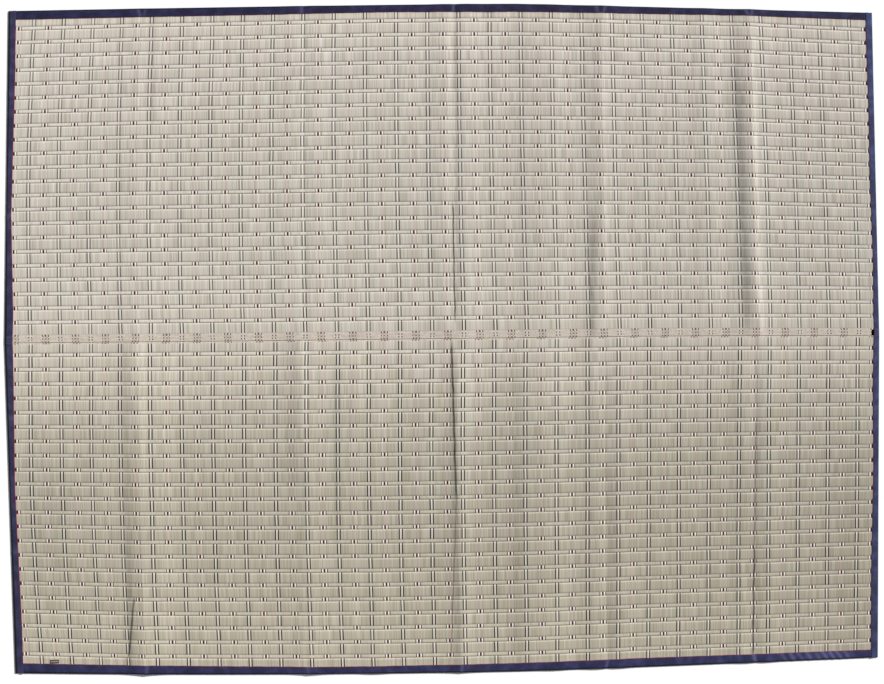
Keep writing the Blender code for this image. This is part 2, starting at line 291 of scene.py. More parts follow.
def shade_and_bruising(shades_and_bruises, x, v):
    """How much darker the cloth is drawn, by painted shade and bruising, where v runs from 0 at the seam to 1 at the
    edge.
    """
    darker = 0.0
    for shade_bruise in shades_and_bruises:
        away = (x - shade_bruise.at_seam - (shade_bruise.at_edge - shade_bruise.at_seam) * v) / shade_bruise.half
        shown = smooth_step(v, shade_bruise.start - SHADE_AND_BRUISE_FADE, shade_bruise.start + SHADE_AND_BRUISE_FADE)
        shown = shown * (1 - smooth_step(v, shade_bruise.stop - SHADE_AND_BRUISE_FADE, shade_bruise.stop + SHADE_AND_BRUISE_FADE))
        darker = darker + shade_bruise.dark * shown * np.exp(-(away**2))
    return darker


print("bruises:", len(FAR_SHADE_AND_BRUISES), "and", len(NEAR_SHADE_AND_BRUISES))

# %% [markdown]
# ## Rows and columns of the weave
# The rush stalks run across each width. Cotton warps bind them along narrow bands, and between these the
# stalks float free in wide bands, which puff up a little. One repeat is about 41 mm, so its relief is a short
# table of heights, read towards the far side, and a loop lays it out 22 times from the seam to the edge. Along
# the mat, the columns stand close together beside the folds, and further apart where the cloth lies flat.

# %% Weave sizes
Bands = namedtuple("Bands", "first pitch closing")
FAR_BANDS = Bands(first=0.0600, pitch=0.04155, closing=0.000036)
NEAR_BANDS = Bands(first=0.0357, pitch=0.04212, closing=0.000026)
BAND_COUNT = 22

Relief = namedtuple("Relief", "away low high keep")
RELIEF = (
    Relief(away=-11.0 * MM, low=0.00 * MM, high=3.02 * MM, keep=False),
    Relief(away=-6.5 * MM, low=0.00 * MM, high=2.45 * MM, keep=True),
    Relief(away=-5.0 * MM, low=0.50 * MM, high=1.55 * MM, keep=True),
    Relief(away=-3.4 * MM, low=0.45 * MM, high=2.50 * MM, keep=False),
    Relief(away=0.0 * MM, low=0.40 * MM, high=2.45 * MM, keep=False),
    Relief(away=3.2 * MM, low=0.45 * MM, high=2.15 * MM, keep=False),
    Relief(away=5.0 * MM, low=0.50 * MM, high=1.65 * MM, keep=True),
    Relief(away=6.5 * MM, low=0.00 * MM, high=2.68 * MM, keep=True),
    Relief(away=11.0 * MM, low=0.00 * MM, high=2.94 * MM, keep=False),
)
WIDE_HIGH = 3.00 * MM

FLAP_LONG = 22.0 * MM
FLAP_SIDE = 20.0 * MM
SEAT_LOW = 1.1 * MM  # inside the binding the cloth rests on the tape's lower flap
SEAT_HIGH = 2.7 * MM
END_SEAT = 22.5 * MM
END_RAMP = 17.0 * MM
EDGE_RAMP = 12.0 * MM
CLOTH_INSET = 1.5 * MM

Row = namedtuple("Row", "y low high band keep")


def band_y(bands, number):
    """The middle of a narrow band, counted from the seam."""
    return bands.first + number * bands.pitch - number**2 * bands.closing


def band_at(bands, y):
    """The band coordinate: a whole number at the middle of each narrow band."""
    numbers = np.arange(-1, BAND_COUNT + 2)
    middles = bands.first + numbers * bands.pitch - numbers * np.abs(numbers) * bands.closing
    return float(np.interp(y, middles, numbers))


def band_rows(bands, side):
    """The rows of all the repeats, as distances from the seam."""
    rows = []
    for number in range(BAND_COUNT):
        middle = band_y(bands, number)
        for relief in RELIEF:
            y = middle + side * relief.away
            rows.append(Row(y, relief.low, relief.high, band_at(bands, y), relief.keep))
        if number + 1 < BAND_COUNT:
            between = (middle + band_y(bands, number + 1)) / 2
            rows.append(Row(between, 0.0, WIDE_HIGH, band_at(bands, between), False))
    return rows


def edge_rows(bands, edge):
    """The last rows, which run on under the binding to the cloth's cut edge."""
    rows = []
    for inside in (edge.seat + 0.5 * EDGE_RAMP, edge.seat, edge.seat / 2, CLOTH_INSET):
        y = edge.crown - inside
        rows.append(Row(y, 0.0, WIDE_HIGH, band_at(bands, y), True))
    return rows


# %% [markdown]
# ## The two selvedges
# At the seam the far width's selvedge lies over the near width's one. A selvedge is plain weave: small rows
# of rush packed between close warps. It is thinner than the bands, so a few rows of alternating height make
# its ribs. Its band coordinate runs on below -1, which lets the material know it from the wide bands.

# %% Selvedge rows
LAP_EDGE = 1.5 * MM
LAP_ROOT = 21.5 * MM
LAP_STEP = 24.0 * MM
LAP_LOW = 1.74 * MM
RIB = 4.0 * MM
RIB_HIGH = 2.95 * MM
RIB_GROOVE = 2.50 * MM
TONGUE_TIP = 19.5 * MM
TONGUE_STEP = 4.5 * MM
TONGUE_HIGH = 1.16 * MM
SELVEDGE_BAND = -1.0
SELVEDGE_DEPTH = 20.0 * MM  # one unit of the band coordinate within the selvedge


def far_rows():
    """The far width's rows, from its selvedge over the seam out to the far edge."""
    rows = []
    count = round((LAP_ROOT - LAP_EDGE) / (RIB / 2))
    for number in range(count + 1):
        y = LAP_EDGE + number * RIB / 2
        high = RIB_GROOVE if number % 2 == 0 else RIB_HIGH
        band = SELVEDGE_BAND - (LAP_ROOT - y) / SELVEDGE_DEPTH
        rows.append(Row(y, LAP_LOW, high, band, number in (0, count)))
    for y, high in ((LAP_STEP, 2.7 * MM), (28 * MM, 2.92 * MM), (37 * MM, WIDE_HIGH)):
        rows.append(Row(y, 0.0, high, band_at(FAR_BANDS, y), y == LAP_STEP))
    return rows + band_rows(FAR_BANDS, 1) + edge_rows(FAR_BANDS, FAR_EDGE)


def near_rows():
    """The near width's rows, from its selvedge under the seam out to the near edge."""
    rows = []
    tongue = ((TONGUE_TIP, TONGUE_HIGH), (0.5 * MM, TONGUE_HIGH), (-0.6 * MM, 2.4 * MM), (-2.2 * MM, 2.7 * MM))
    for y, high in tongue + ((-3.6 * MM, 2.35 * MM),):
        band = SELVEDGE_BAND - (TONGUE_STEP + y) / SELVEDGE_DEPTH
        rows.append(Row(-y, 0.0, high, band, y == TONGUE_TIP))
    for y, high in ((TONGUE_STEP, 2.6 * MM), (8 * MM, 2.92 * MM), (17.5 * MM, WIDE_HIGH)):
        rows.append(Row(y, 0.0, high, band_at(NEAR_BANDS, y), y == TONGUE_STEP))
    return rows + band_rows(NEAR_BANDS, -1) + edge_rows(NEAR_BANDS, NEAR_EDGE)


FAR_ROWS = sorted(far_rows())
NEAR_ROWS = sorted(near_rows())
print("rows in the far and near width:", len(FAR_ROWS), len(NEAR_ROWS))

# %% Columns
FINE_LEFT = 0.065  # the bent cloth lies mostly on the left of each fold
FINE_RIGHT = 0.032
FINE_STEP = 3.4 * MM
PLAIN_STEP = 10.5 * MM
END_STEPS = (CLOTH_INSET, END_SEAT / 2, END_SEAT, END_SEAT + END_RAMP)


def column_places():
    """Where the columns stand along the seam: close together beside the folds."""
    left = [LEFT_END.at_seam + step for step in END_STEPS]
    right = [RIGHT_END.at_seam - step for step in END_STEPS]
    marks = [left[-1]] + [fold.x + away for fold in FOLDS for away in (-FINE_LEFT, 0.0, FINE_RIGHT)] + [right[-1]]
    places = left[:-1]
    for start, stop in zip(marks, marks[1:]):
        step = FINE_STEP if stop - start < 1.5 * FINE_LEFT else PLAIN_STEP
        places += list(np.linspace(start, stop, max(1, round((stop - start) / step)), endpoint=False))
    return np.array(places + right[::-1])


COLUMNS = column_places()
print("columns:", len(COLUMNS))

# %% [markdown]
# ## Where the pattern falls
# Dyed stalks mark the cloth about every 89 mm: a maroon group that shows on the narrow bands, and halfway
# between these a dark pair that shows on the wide ones. The stalks bow a little across each width. The UV
# map called `weave` counts these groups and bands instead of metres, so that the material can find every
# stalk, and so that the pattern follows the cloth through its folds.

# %% Weave coordinates
Column = namedtuple("Column", "group at_seam bow lean")
FAR_COLUMNS = (
    Column(-8, -1.2301, bow=-11.8 * MM, lean=1.0 * MM),
    Column(-6, -1.0614, bow=-10.6 * MM, lean=1.3 * MM),
    Column(-4, -0.8914, bow=-9.5 * MM, lean=-3.5 * MM),
    Column(0, -0.5436, bow=-7.2 * MM, lean=-2.5 * MM),
    Column(2, -0.3642, bow=-4.7 * MM, lean=-8.6 * MM),
    Column(4, -0.1837, bow=-3.1 * MM, lean=-8.9 * MM),
    Column(8, 0.1834, bow=-3.1 * MM, lean=-11.7 * MM),
    Column(12, 0.5421, bow=-0.3 * MM, lean=-12.5 * MM),
    Column(16, 0.8972, bow=3.2 * MM, lean=-15.1 * MM),
    Column(18, 1.0688, bow=1.8 * MM, lean=-14.2 * MM),
    Column(20, 1.2457, bow=1.8 * MM, lean=-9.5 * MM),
)
NEAR_COLUMNS = (
    Column(-8, -1.2309, bow=-12.2 * MM, lean=5.1 * MM),
    Column(-6, -1.0583, bow=-10.9 * MM, lean=3.7 * MM),
    Column(-4, -0.8963, bow=-6.2 * MM, lean=-0.7 * MM),
    Column(0, -0.5401, bow=-7.0 * MM, lean=-1.3 * MM),
    Column(4, -0.1833, bow=-5.7 * MM, lean=-3.4 * MM),
    Column(8, 0.1783, bow=-3.2 * MM, lean=-4.8 * MM),
    Column(12, 0.5383, bow=0.8 * MM, lean=-7.7 * MM),
    Column(16, 0.8931, bow=-1.6 * MM, lean=-5.7 * MM),
    Column(20, 1.2404, bow=2.2 * MM, lean=-3.9 * MM),
)


def group_at(columns, x, v):
    """The group coordinate: a whole number at each maroon group of stalks."""
    places = [mark.at_seam + mark.bow * np.sin(np.pi * v) + mark.lean * v for mark in columns]
    group = columns[0].group
    last = len(columns) - 2
    for number in range(last + 1):
        share = (x - places[number]) / (places[number + 1] - places[number])
        share = np.maximum(share, 0) if number > 0 else share
        share = np.minimum(share, 1) if number < last else share
        group = group + share * (columns[number + 1].group - columns[number].group)
    return group


# %% [markdown]
# ## Weaving a width
# A width starts as a flat grid with one square for each step between rows and columns, still in whole
# numbers. Extruding the grid gives the sheet its underside and its edges in one move. The underside hardly
# shows, so most of its rows and every second column are dissolved. Only then are the whole numbers turned
# into real places, all at once with numpy, which is far quicker than moving 150,000 points one by one.

# %% Cloth helpers
UNEVEN = 0.12 * MM


def end_seat(x):
    """How far the cloth is pressed into the side tapes: 1 inside them, 0 in the open."""
    inside = np.minimum(x - LEFT_END.at_seam, RIGHT_END.at_seam - x)
    return np.clip((END_SEAT + END_RAMP - inside) / END_RAMP, 0, 1)


def edge_seat(y):
    """The same for the long tapes."""
    inside = np.where(y > 0, FAR_EDGE.crown, NEAR_EDGE.crown) - np.abs(y)
    seat = np.where(y > 0, FAR_EDGE.seat, NEAR_EDGE.seat)
    return np.clip((seat + EDGE_RAMP - inside) / EDGE_RAMP, 0, 1)


def cloth_height(x, y, face_height, seat_height):
    """The height of one face of the cloth, over folds and into the binding."""
    seat = np.maximum(end_seat(x), edge_seat(y))
    seat = seat * seat * (3 - 2 * seat)
    uneven = UNEVEN * ripple(x, y, 0.047, 1) * (1 - seat)
    return np.maximum(lift(x, y) + face_height + (seat_height - face_height) * seat + uneven, 0)


def keep_object(name, bm, material=None):
    """Turns a finished bmesh into a linked object at the origin, shaded smooth."""
    mesh = bpy.data.meshes.new(name)
    bm.to_mesh(mesh)
    bm.free()
    mesh.shade_smooth()
    made = bpy.data.objects.new(name, mesh)
    bpy.context.scene.collection.objects.link(made)
    return made


def triangles(made):
    return sum(len(face.vertices) - 2 for face in made.data.polygons)


def set_uv(mesh, name, per_vertex):
    """Writes a UV map from one pair of values for each vertex."""
    layer = mesh.uv_layers.new(name=name)
    corners = np.empty(len(mesh.loops), np.int32)
    mesh.loops.foreach_get("vertex_index", corners)
    layer.data.foreach_set("uv", per_vertex[corners].astype(np.float32).ravel())


def index_grid(columns, rows):
    """A grid whose vertices stand at whole numbers: column, row."""
    bm = bmesh.new()
    bmesh.ops.create_grid(bm, x_segments=columns - 1, y_segments=rows - 1, size=0.5)
    bmesh.ops.scale(bm, vec=(columns - 1, rows - 1, 1), verts=bm.verts)
    bmesh.ops.translate(bm, vec=((columns - 1) / 2, (rows - 1) / 2, 0), verts=bm.verts)
    return bm


def read_places(mesh):
    places = np.empty(len(mesh.vertices) * 3, np.float32)
    mesh.vertices.foreach_get("co", places)
    return places.reshape(-1, 3)


def write_places(mesh, x, y, z):
    mesh.vertices.foreach_set("co", np.stack([x, y, z], axis=1).astype(np.float32).ravel())
    mesh.update()


# %% Weave one width
def is_spare(edge, rows):
    """Whether an edge of the underside belongs to a row or column that it can do without."""
    first, second = (vert.co for vert in edge.verts)
    if first.z > 0.5 or second.z > 0.5:
        return False
    if round(first.y) == round(second.y):
        return not rows[round(first.y)].keep and 0 < round(first.y) < len(rows) - 1
    return round(first.x) % 2 == 1 and 0 < round(first.x) < len(COLUMNS) - 1


def weave_width(name, rows, side, edge, columns, shades_and_bruises):
    """A closed woven sheet. The side is 1 for the far width and -1 for the near one."""
    bm = index_grid(len(COLUMNS), len(rows))
    made = bmesh.ops.extrude_face_region(bm, geom=list(bm.faces), use_keep_orig=True)
    upper = [item for item in made["geom"] if isinstance(item, bmesh.types.BMVert)]
    bmesh.ops.translate(bm, vec=(0, 0, 1), verts=upper)
    spare = [edge for edge in bm.edges if is_spare(edge, rows)]
    bmesh.ops.dissolve_edges(bm, edges=spare, use_verts=True)
    bmesh.ops.recalc_face_normals(bm, faces=bm.faces)
    width = keep_object(name, bm)
    index = np.rint(read_places(width.data)).astype(int)
    x = COLUMNS[index[:, 0]]
    y = side * np.array([row.y for row in rows])[index[:, 1]]
    low = np.array([row.low for row in rows])[index[:, 1]]
    high = np.array([row.high for row in rows])[index[:, 1]]
    top = index[:, 2] == 1
    height = cloth_height(x, y, np.where(top, high, low), np.where(top, SEAT_HIGH, SEAT_LOW))
    moved = wander(x, y)
    write_places(width.data, *place(moved, settle(moved, y)), height)
    band = np.array([row.band for row in rows])[index[:, 1]]
    v = np.abs(y) / edge.crown
    set_uv(width.data, "weave", np.stack([group_at(columns, moved, v), band], axis=1))
    # painted shade and highlight beside the folds, partly the rush's own bruising, kept on each point
    fold_shade_and_bruise = width.data.attributes.new("fold_shade_and_bruise", "FLOAT", "POINT")
    fold_shade_and_bruise.data.foreach_set("value", shade_and_bruising(shades_and_bruises, moved, v).astype(np.float32))
    if side < 0:
        width.data.flip_normals()
    width.data.set_sharp_from_angle(angle=1.2)
    print(name, triangles(width), "triangles")
    return width


far_width = weave_width("rush_far", FAR_ROWS, 1, FAR_EDGE, FAR_COLUMNS, FAR_SHADE_AND_BRUISES)
near_width = weave_width("rush_near", NEAR_ROWS, -1, NEAR_EDGE, NEAR_COLUMNS, NEAR_SHADE_AND_BRUISES)

# %% [markdown]
# ## The cotton tape
# A tape about 45 mm wide is folded over the cut edge and sewn through. Its cross-section is a flat U with a
# round nose. A grid is rolled round that section, one strip for each side of the mat, and the Solidify
# modifier gives it the cloth's thickness. The side tapes were sewn on last, so at the corners they lap over
# the ends of the long ones. Puckers stand across the tape where the thread drew it in,
# and each point remembers how much of a pucker it carries, for the material.

# %% Tape shape
TAPE_THICK = 0.8 * MM
TAPE_TOP = 3.8 * MM
LOWER_SIDE_FLAP = 15.0 * MM
LONG_START = 16.5 * MM  # a long tape starts here, under the side tape's upper flap
OVERLAP_RISE = 0.95 * MM
STATION_STEP = 3.2 * MM
Pucker = namedtuple("Pucker", "along height width slant")
FAR_PUCKERS = (
    Pucker(-0.888, 0.9 * MM, 5 * MM, 0.2), Pucker(-0.872, 0.6 * MM, 4 * MM, -0.3),
    Pucker(-0.420, 0.8 * MM, 5 * MM, 0.1), Pucker(0.018, 0.9 * MM, 4 * MM, 0.0),
    Pucker(0.440, 0.8 * MM, 6 * MM, 0.3), Pucker(0.462, 0.8 * MM, 4 * MM, -0.2),
    Pucker(0.884, 1.0 * MM, 5 * MM, 0.3), Pucker(0.900, 0.7 * MM, 4 * MM, -0.2),
)
NEAR_PUCKERS = (
    Pucker(-0.885, 0.7 * MM, 5 * MM, 0.3), Pucker(-0.420, 0.7 * MM, 5 * MM, -0.2),
    Pucker(0.026, 0.8 * MM, 5 * MM, 0.2), Pucker(0.452, 0.8 * MM, 5 * MM, 0.3),
    Pucker(0.890, 0.9 * MM, 5 * MM, -0.3), Pucker(0.978, 0.7 * MM, 5 * MM, -0.6),
    Pucker(1.003, 1.0 * MM, 6 * MM, -0.6), Pucker(1.027, 0.7 * MM, 5 * MM, -0.7),
    Pucker(1.053, 1.0 * MM, 5 * MM, -0.7), Pucker(1.079, 0.8 * MM, 5 * MM, -0.6),
    Pucker(1.101, 1.3 * MM, 5 * MM, -0.8), Pucker(1.122, 1.4 * MM, 5 * MM, -0.7),
    Pucker(1.143, 1.3 * MM, 5 * MM, -0.8), Pucker(1.166, 0.9 * MM, 6 * MM, -0.6),
)
SIDE_PUCKERS = (
    Pucker(-0.61, 0.5 * MM, 7 * MM, 0.2), Pucker(-0.22, 0.4 * MM, 8 * MM, -0.3),
    Pucker(-0.002, 0.6 * MM, 2.6 * MM, 0.0), Pucker(0.006, 0.5 * MM, 2.4 * MM, 0.0),
    Pucker(0.015, 0.7 * MM, 2.6 * MM, 0.1), Pucker(0.37, 0.4 * MM, 7 * MM, 0.3),
    Pucker(0.72, 0.5 * MM, 8 * MM, -0.2),
)


def tape_section(flap, lower_flap):
    """The outer face of the folded tape, from its upper inner edge round the nose to its lower one."""
    half = TAPE_TOP / 2
    section = [(flap * share, TAPE_TOP) for share in (1.0, 0.96, 0.8, 0.6, 0.4, 0.24)]
    section[0] = (flap, TAPE_TOP - 0.15 * MM)
    for turn in np.radians((75, 45, 15, -15, -45, -75)):
        section.append((half * (1 - np.cos(turn)), half * (1 + np.sin(turn))))
    section += [(lower_flap * share, 0.0) for share in (0.3, 0.65, 1.0)]
    return np.array(section)


def pucker_height(puckers, along, inward):
    height = 0.0
    for pucker in puckers:
        away = (along - pucker.along - pucker.slant * (inward - FLAP_LONG / 2)) / pucker.width
        height = height + pucker.height * np.exp(-(away**2))
    return height


print("section points:", len(tape_section(FLAP_LONG, FLAP_LONG)))


# %% Roll a tape
def roll_tape(name, along, section, shape):
    """Rolls a grid round the section. The shape gives the real places and how far in each point lies."""
    bm = index_grid(len(along), len(section))
    tape = keep_object(name, bm)
    index = np.rint(read_places(tape.data)).astype(int)
    run = along[index[:, 0]]
    inward, height = section[index[:, 1]].T
    x, y, z, drawn = shape(run, inward, height)
    write_places(tape.data, x, y, z)
    drawn_in = tape.data.attributes.new("drawn_in", "FLOAT", "POINT")
    drawn_in.data.foreach_set("value", (drawn / MM).astype(np.float32))
    lengths = np.hypot(*np.diff(section, axis=0).T)
    round_way = np.concatenate([[0.0], np.cumsum(lengths)])
    set_uv(tape.data, "cloth", np.stack([run, round_way[index[:, 1]]], axis=1))
    solid = tape.modifiers.new("cloth thickness", "SOLIDIFY")
    solid.thickness = TAPE_THICK
    solid.offset = -1.0
    print(name, len(along), "stations")
    return tape


def upper_share(height):
    """1 on the tape's upper flap, 0 underneath."""
    return np.clip((height / TAPE_TOP - 0.5) * 2, 0, 1)


# %% [markdown]
# The long tapes rise over each fold with the cloth. Their upper flaps are not quite even in width, and the
# tape swells a little between its stitches and its nose.

# %% Long tapes
Width = namedtuple("Width", "along flap")
FAR_FLAPS = (
    Width(-1.261, 26.5 * MM), Width(-0.50, 24.0 * MM), Width(-0.17, 21.0 * MM),
    Width(0.12, 24.0 * MM), Width(0.87, 18.5 * MM), Width(1.261, 22.5 * MM),
)
NEAR_FLAPS = (
    Width(-1.261, 31.0 * MM), Width(-0.34, 21.5 * MM), Width(0.53, 27.5 * MM), Width(1.261, 25.0 * MM),
)


def flap_at(flaps, along):
    return np.interp(along, [mark.along for mark in flaps], [mark.flap for mark in flaps])


def long_tape(name, edge, side, flaps, puckers):
    """A tape round a long edge. It is laid clockwise, so that its faces look outwards."""
    start = LEFT_END.at_seam + LONG_START
    stop = RIGHT_END.at_seam - LONG_START
    along = np.linspace(start, stop, round((stop - start) / STATION_STEP))[::side]

    def shape(x, inward, height):
        upper = upper_share(height)
        wide = inward * (1 + (flap_at(flaps, x) / FLAP_LONG - 1) * upper)
        wide = wide + 0.35 * MM * ripple(x, 0.0, 0.043, 3) * (inward / FLAP_LONG)
        y = side * (edge.crown - wide)
        swell = 0.25 * MM * np.sin(np.pi * np.clip(inward / FLAP_LONG, 0, 1))
        drawn = pucker_height(puckers, x, inward) * upper
        swell = swell + drawn * np.clip(1.25 - inward / FLAP_LONG, 0, 1)
        swell = swell + 0.12 * MM * ripple(x, inward, 0.031, 5)
        real_x, real_y = place(wander(x, y), y)
        return real_x, real_y, lift(x, y) + height + swell * upper, drawn

    return roll_tape(name, along, tape_section(FLAP_LONG, FLAP_LONG), shape)


far_tape = long_tape("tape_far", FAR_EDGE, 1, FAR_FLAPS, FAR_PUCKERS)
near_tape = long_tape("tape_near", NEAR_EDGE, -1, NEAR_FLAPS, NEAR_PUCKERS)

# %% [markdown]
# The side tapes run out to the corners and are pressed shut there. The right one was pulled in over the soft
# narrow bands and pushed back by the puffed wide ones, so its inner edge is scalloped in step with the bands.

# %% Side tapes
LEFT_FLAPS = (
    Width(-0.82, 24.0 * MM), Width(-0.42, 16.5 * MM), Width(-0.10, 23.0 * MM), Width(0.08, 24.5 * MM),
    Width(0.37, 15.0 * MM), Width(0.78, 22.0 * MM),
)
RIGHT_FLAPS = (
    Width(-0.70, 20.5 * MM), Width(-0.40, 14.5 * MM), Width(-0.16, 18.0 * MM), Width(0.23, 12.5 * MM),
    Width(0.50, 17.5 * MM), Width(0.66, 16.0 * MM), Width(0.90, 19.5 * MM),
)
LEFT_SCALLOP = 0.6 * MM
RIGHT_SCALLOP = 3.8 * MM
END_PRESS = 1.5 * MM
PRESSED_HALF = 0.45  # a pressed end keeps this share of the tape's height


def band_wave(y):
    """1 at the middle of each narrow band, falling to 0 on the wide bands."""
    numbers = np.arange(BAND_COUNT)
    middles = np.concatenate([-band_y(NEAR_BANDS, numbers)[::-1], band_y(FAR_BANDS, numbers)])
    away = np.abs(y[:, None] - middles[None, :]).min(axis=1)
    return np.exp(-((away / (7.0 * MM)) ** 2))


def side_tape(name, end, side, flaps, scallop):
    """A tape round a short end, out to both corners and over the long tapes' ends."""
    far_under = flap_at(FAR_FLAPS, end.at_seam)
    near_under = flap_at(NEAR_FLAPS, end.at_seam)
    far_stop, near_stop = FAR_EDGE.crown, -NEAR_EDGE.crown
    middle = np.linspace(near_stop + 2 * END_PRESS, far_stop - 2 * END_PRESS, round(1.9 / (0.8 * STATION_STEP)))
    tip = 2 * END_PRESS * (1 - np.cos(np.linspace(0, np.pi / 2, 6)))[:-1]
    along = np.concatenate([near_stop + tip, middle, far_stop - tip[::-1]])
    along = along if side < 0 else along[::-1]

    def shape(y, inward, height):
        upper = upper_share(height)
        left_over = np.minimum(far_stop - y, y - near_stop)
        past = left_over - np.where(y > 0, far_under, near_under)
        corner = 1 - smooth_step(past, -2 * MM, 7 * MM)
        wide = inward * (1 + (flap_at(flaps, y) / FLAP_SIDE - 1) * upper)
        wide = wide + scallop * band_wave(y) * upper * (1 - corner) * smooth_step(inward, 12 * MM, FLAP_SIDE)
        wide = wide + 0.3 * MM * ripple(y, 0.0, 0.051, 4) * (inward / FLAP_SIDE)
        over = OVERLAP_RISE * corner * smooth_step(inward, 9 * MM, 14 * MM)
        press = np.clip(left_over / (2 * END_PRESS), 0, 1)
        press = np.sqrt(1 - (1 - press) ** 2)
        shut = (1 - press) * (1 - smooth_step(inward, 11 * MM, 14 * MM))
        squeezed = TAPE_TOP / 2 + (height - TAPE_TOP / 2) * (1 - (1 - PRESSED_HALF) * shut)
        swell = 0.22 * MM * np.sin(np.pi * np.clip(inward / FLAP_SIDE, 0, 1)) * press
        drawn = pucker_height(SIDE_PUCKERS, y, inward) * upper
        swell = swell + drawn * np.clip(1.25 - inward / FLAP_SIDE, 0, 1)
        swell = swell + 0.10 * MM * ripple(y, inward, 0.037, 6) * press
        real_x, real_y = place(end.at_seam - side * wide, y)
        return real_x, real_y, squeezed + (swell + over) * upper, drawn

    return roll_tape(name, along, tape_section(FLAP_SIDE, LOWER_SIDE_FLAP), shape)


left_tape = side_tape("tape_left", LEFT_END, -1, LEFT_FLAPS, LEFT_SCALLOP)
right_tape = side_tape("tape_right", RIGHT_END, 1, RIGHT_FLAPS, RIGHT_SCALLOP)

# %% [markdown]
# ## Stitches
# The binding is sewn down along its inner edge, and two rows join the widths along the seam. A stitch is a
# small stretched ball with a few dozen faces, half sunk in the cloth. Adding hundreds of them one by one is
# slow, so the Array modifier repeats one stitch to a straight row. Each point of the row is then carried to
# its place on the mat, just like the points of the cloth, and so the thread follows folds and bends.

# %% Straight rows of stitches
STITCH_STEP = 4.2 * MM
STITCH_SIZE = Vector((2.9 * MM, 0.75 * MM, 0.42 * MM))


def stitch_row(name, start, stop, shape):
    """A row of stitches from start to stop. The shape turns run, across and up into real places."""
    bm = bmesh.new()
    bmesh.ops.create_uvsphere(bm, u_segments=6, v_segments=4, radius=0.5)
    bmesh.ops.rotate(bm, matrix=Matrix.Rotation(TURN / 4, 3, "Y"), verts=bm.verts)
    bmesh.ops.scale(bm, vec=STITCH_SIZE, verts=bm.verts)
    row = keep_object(name, bm)
    array = row.modifiers.new("row", "ARRAY")
    array.count = round((stop - start) / STITCH_STEP)
    array.use_relative_offset = False
    array.use_constant_offset = True
    array.constant_offset_displace = (STITCH_STEP, 0, 0)
    bpy.context.view_layer.update()
    repeated = bpy.data.meshes.new_from_object(row.evaluated_get(bpy.context.evaluated_depsgraph_get()))
    row.modifiers.clear()
    row.data = repeated
    along, across, up = read_places(repeated).T
    write_places(repeated, *shape(start + along, across, up))
    return row


def row_high(rows, y):
    """The cloth's upper face between two rows of the weave."""
    return np.interp(y, [row.y for row in rows], [row.high for row in rows])


SEAM_ROWS = (5.5 * MM, 17.5 * MM)
SEAM_SINK = 0.05 * MM


def seam_stitches(name, seam_y):
    def shape(x, across, up):
        y = seam_y + across
        height = cloth_height(x, y, row_high(FAR_ROWS, seam_y), SEAT_HIGH)
        return *place(wander(x, y), settle(x, y)), height + up + SEAM_SINK

    return stitch_row(name, LEFT_END.at_seam + FLAP_SIDE, RIGHT_END.at_seam - FLAP_SIDE, shape)


seam_threads = [seam_stitches("seam_stitches_near", SEAM_ROWS[0]), seam_stitches("seam_stitches_far", SEAM_ROWS[1])]
print("seam stitches:", sum(triangles(thread) for thread in seam_threads), "triangles")

# %% Binding stitches
STITCH_INSET = 2.4 * MM  # from the tape's inner edge
STITCH_RISE = 0.1 * MM
STITCH_END = 3 * MM  # from a side tape's edge to the row's first stitch
CORNER_CLEAR = 8 * MM  # from a long tape to a side row's end


def long_stitches(name, edge, side, flaps):
    def shape(x, across, up):
        y = side * (edge.crown - flap_at(flaps, x) + STITCH_INSET) + across
        return *place(wander(x, y), y), lift(x, y) + TAPE_TOP + STITCH_RISE + up

    start = LEFT_END.at_seam + FLAP_SIDE + STITCH_END
    return stitch_row(name, start, RIGHT_END.at_seam - FLAP_SIDE - STITCH_END, shape)


def side_stitches(name, end, side, flaps):
    def shape(y, across, up):
        x = end.at_seam - side * (flap_at(flaps, y) - STITCH_INSET) + across
        return *place(x, y), TAPE_TOP + STITCH_RISE + up

    start = NEAR_EDGE.seat + CORNER_CLEAR - NEAR_EDGE.crown
    return stitch_row(name, start, FAR_EDGE.crown - FAR_EDGE.seat - CORNER_CLEAR, shape)


tape_threads = [
    long_stitches("stitches_far", FAR_EDGE, 1, FAR_FLAPS),
    long_stitches("stitches_near", NEAR_EDGE, -1, NEAR_FLAPS),
    side_stitches("stitches_left", LEFT_END, -1, LEFT_FLAPS),
    side_stitches("stitches_right", RIGHT_END, 1, RIGHT_FLAPS),
]
print("binding stitches:", sum(triangles(thread) for thread in tape_threads), "triangles")

# %% [markdown]
# ## The label
# A small woven label is sewn in beside the near binding. It stays bare here: a dark frame round a paler
# field. It starts as a flat grid, is extruded to its thickness and bows a little along its length.

# %% Label
LABEL_SIZE = Vector((25.0 * MM, 9.5 * MM, 0.55 * MM))
LABEL_GAP = 0.3 * MM
LABEL_BOW = 0.35 * MM

low_corner, high_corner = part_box("label")
label_middle = (low_corner + high_corner) / 2
bm = bmesh.new()
bmesh.ops.create_grid(bm, x_segments=12, y_segments=5, size=0.5)
made = bmesh.ops.extrude_face_region(bm, geom=list(bm.faces), use_keep_orig=True)
upper = [item for item in made["geom"] if isinstance(item, bmesh.types.BMVert)]
bmesh.ops.translate(bm, vec=(0, 0, 1), verts=upper)
bmesh.ops.recalc_face_normals(bm, faces=bm.faces)
flat_map = bm.loops.layers.uv.new("cloth")
for face in bm.faces:
    for corner in face.loops:
        corner[flat_map].uv = (corner.vert.co.x, corner.vert.co.y)
bmesh.ops.scale(bm, vec=LABEL_SIZE, verts=bm.verts)
for vert in bm.verts:
    vert.co.z += LABEL_BOW * np.sin(np.pi * (vert.co.x / LABEL_SIZE.x + 0.5))
bmesh.ops.translate(bm, vec=(label_middle.x, label_middle.y, low_corner.z), verts=bm.verts)
label = keep_object("label_tab", bm)
label.data.set_sharp_from_angle(angle=0.9)
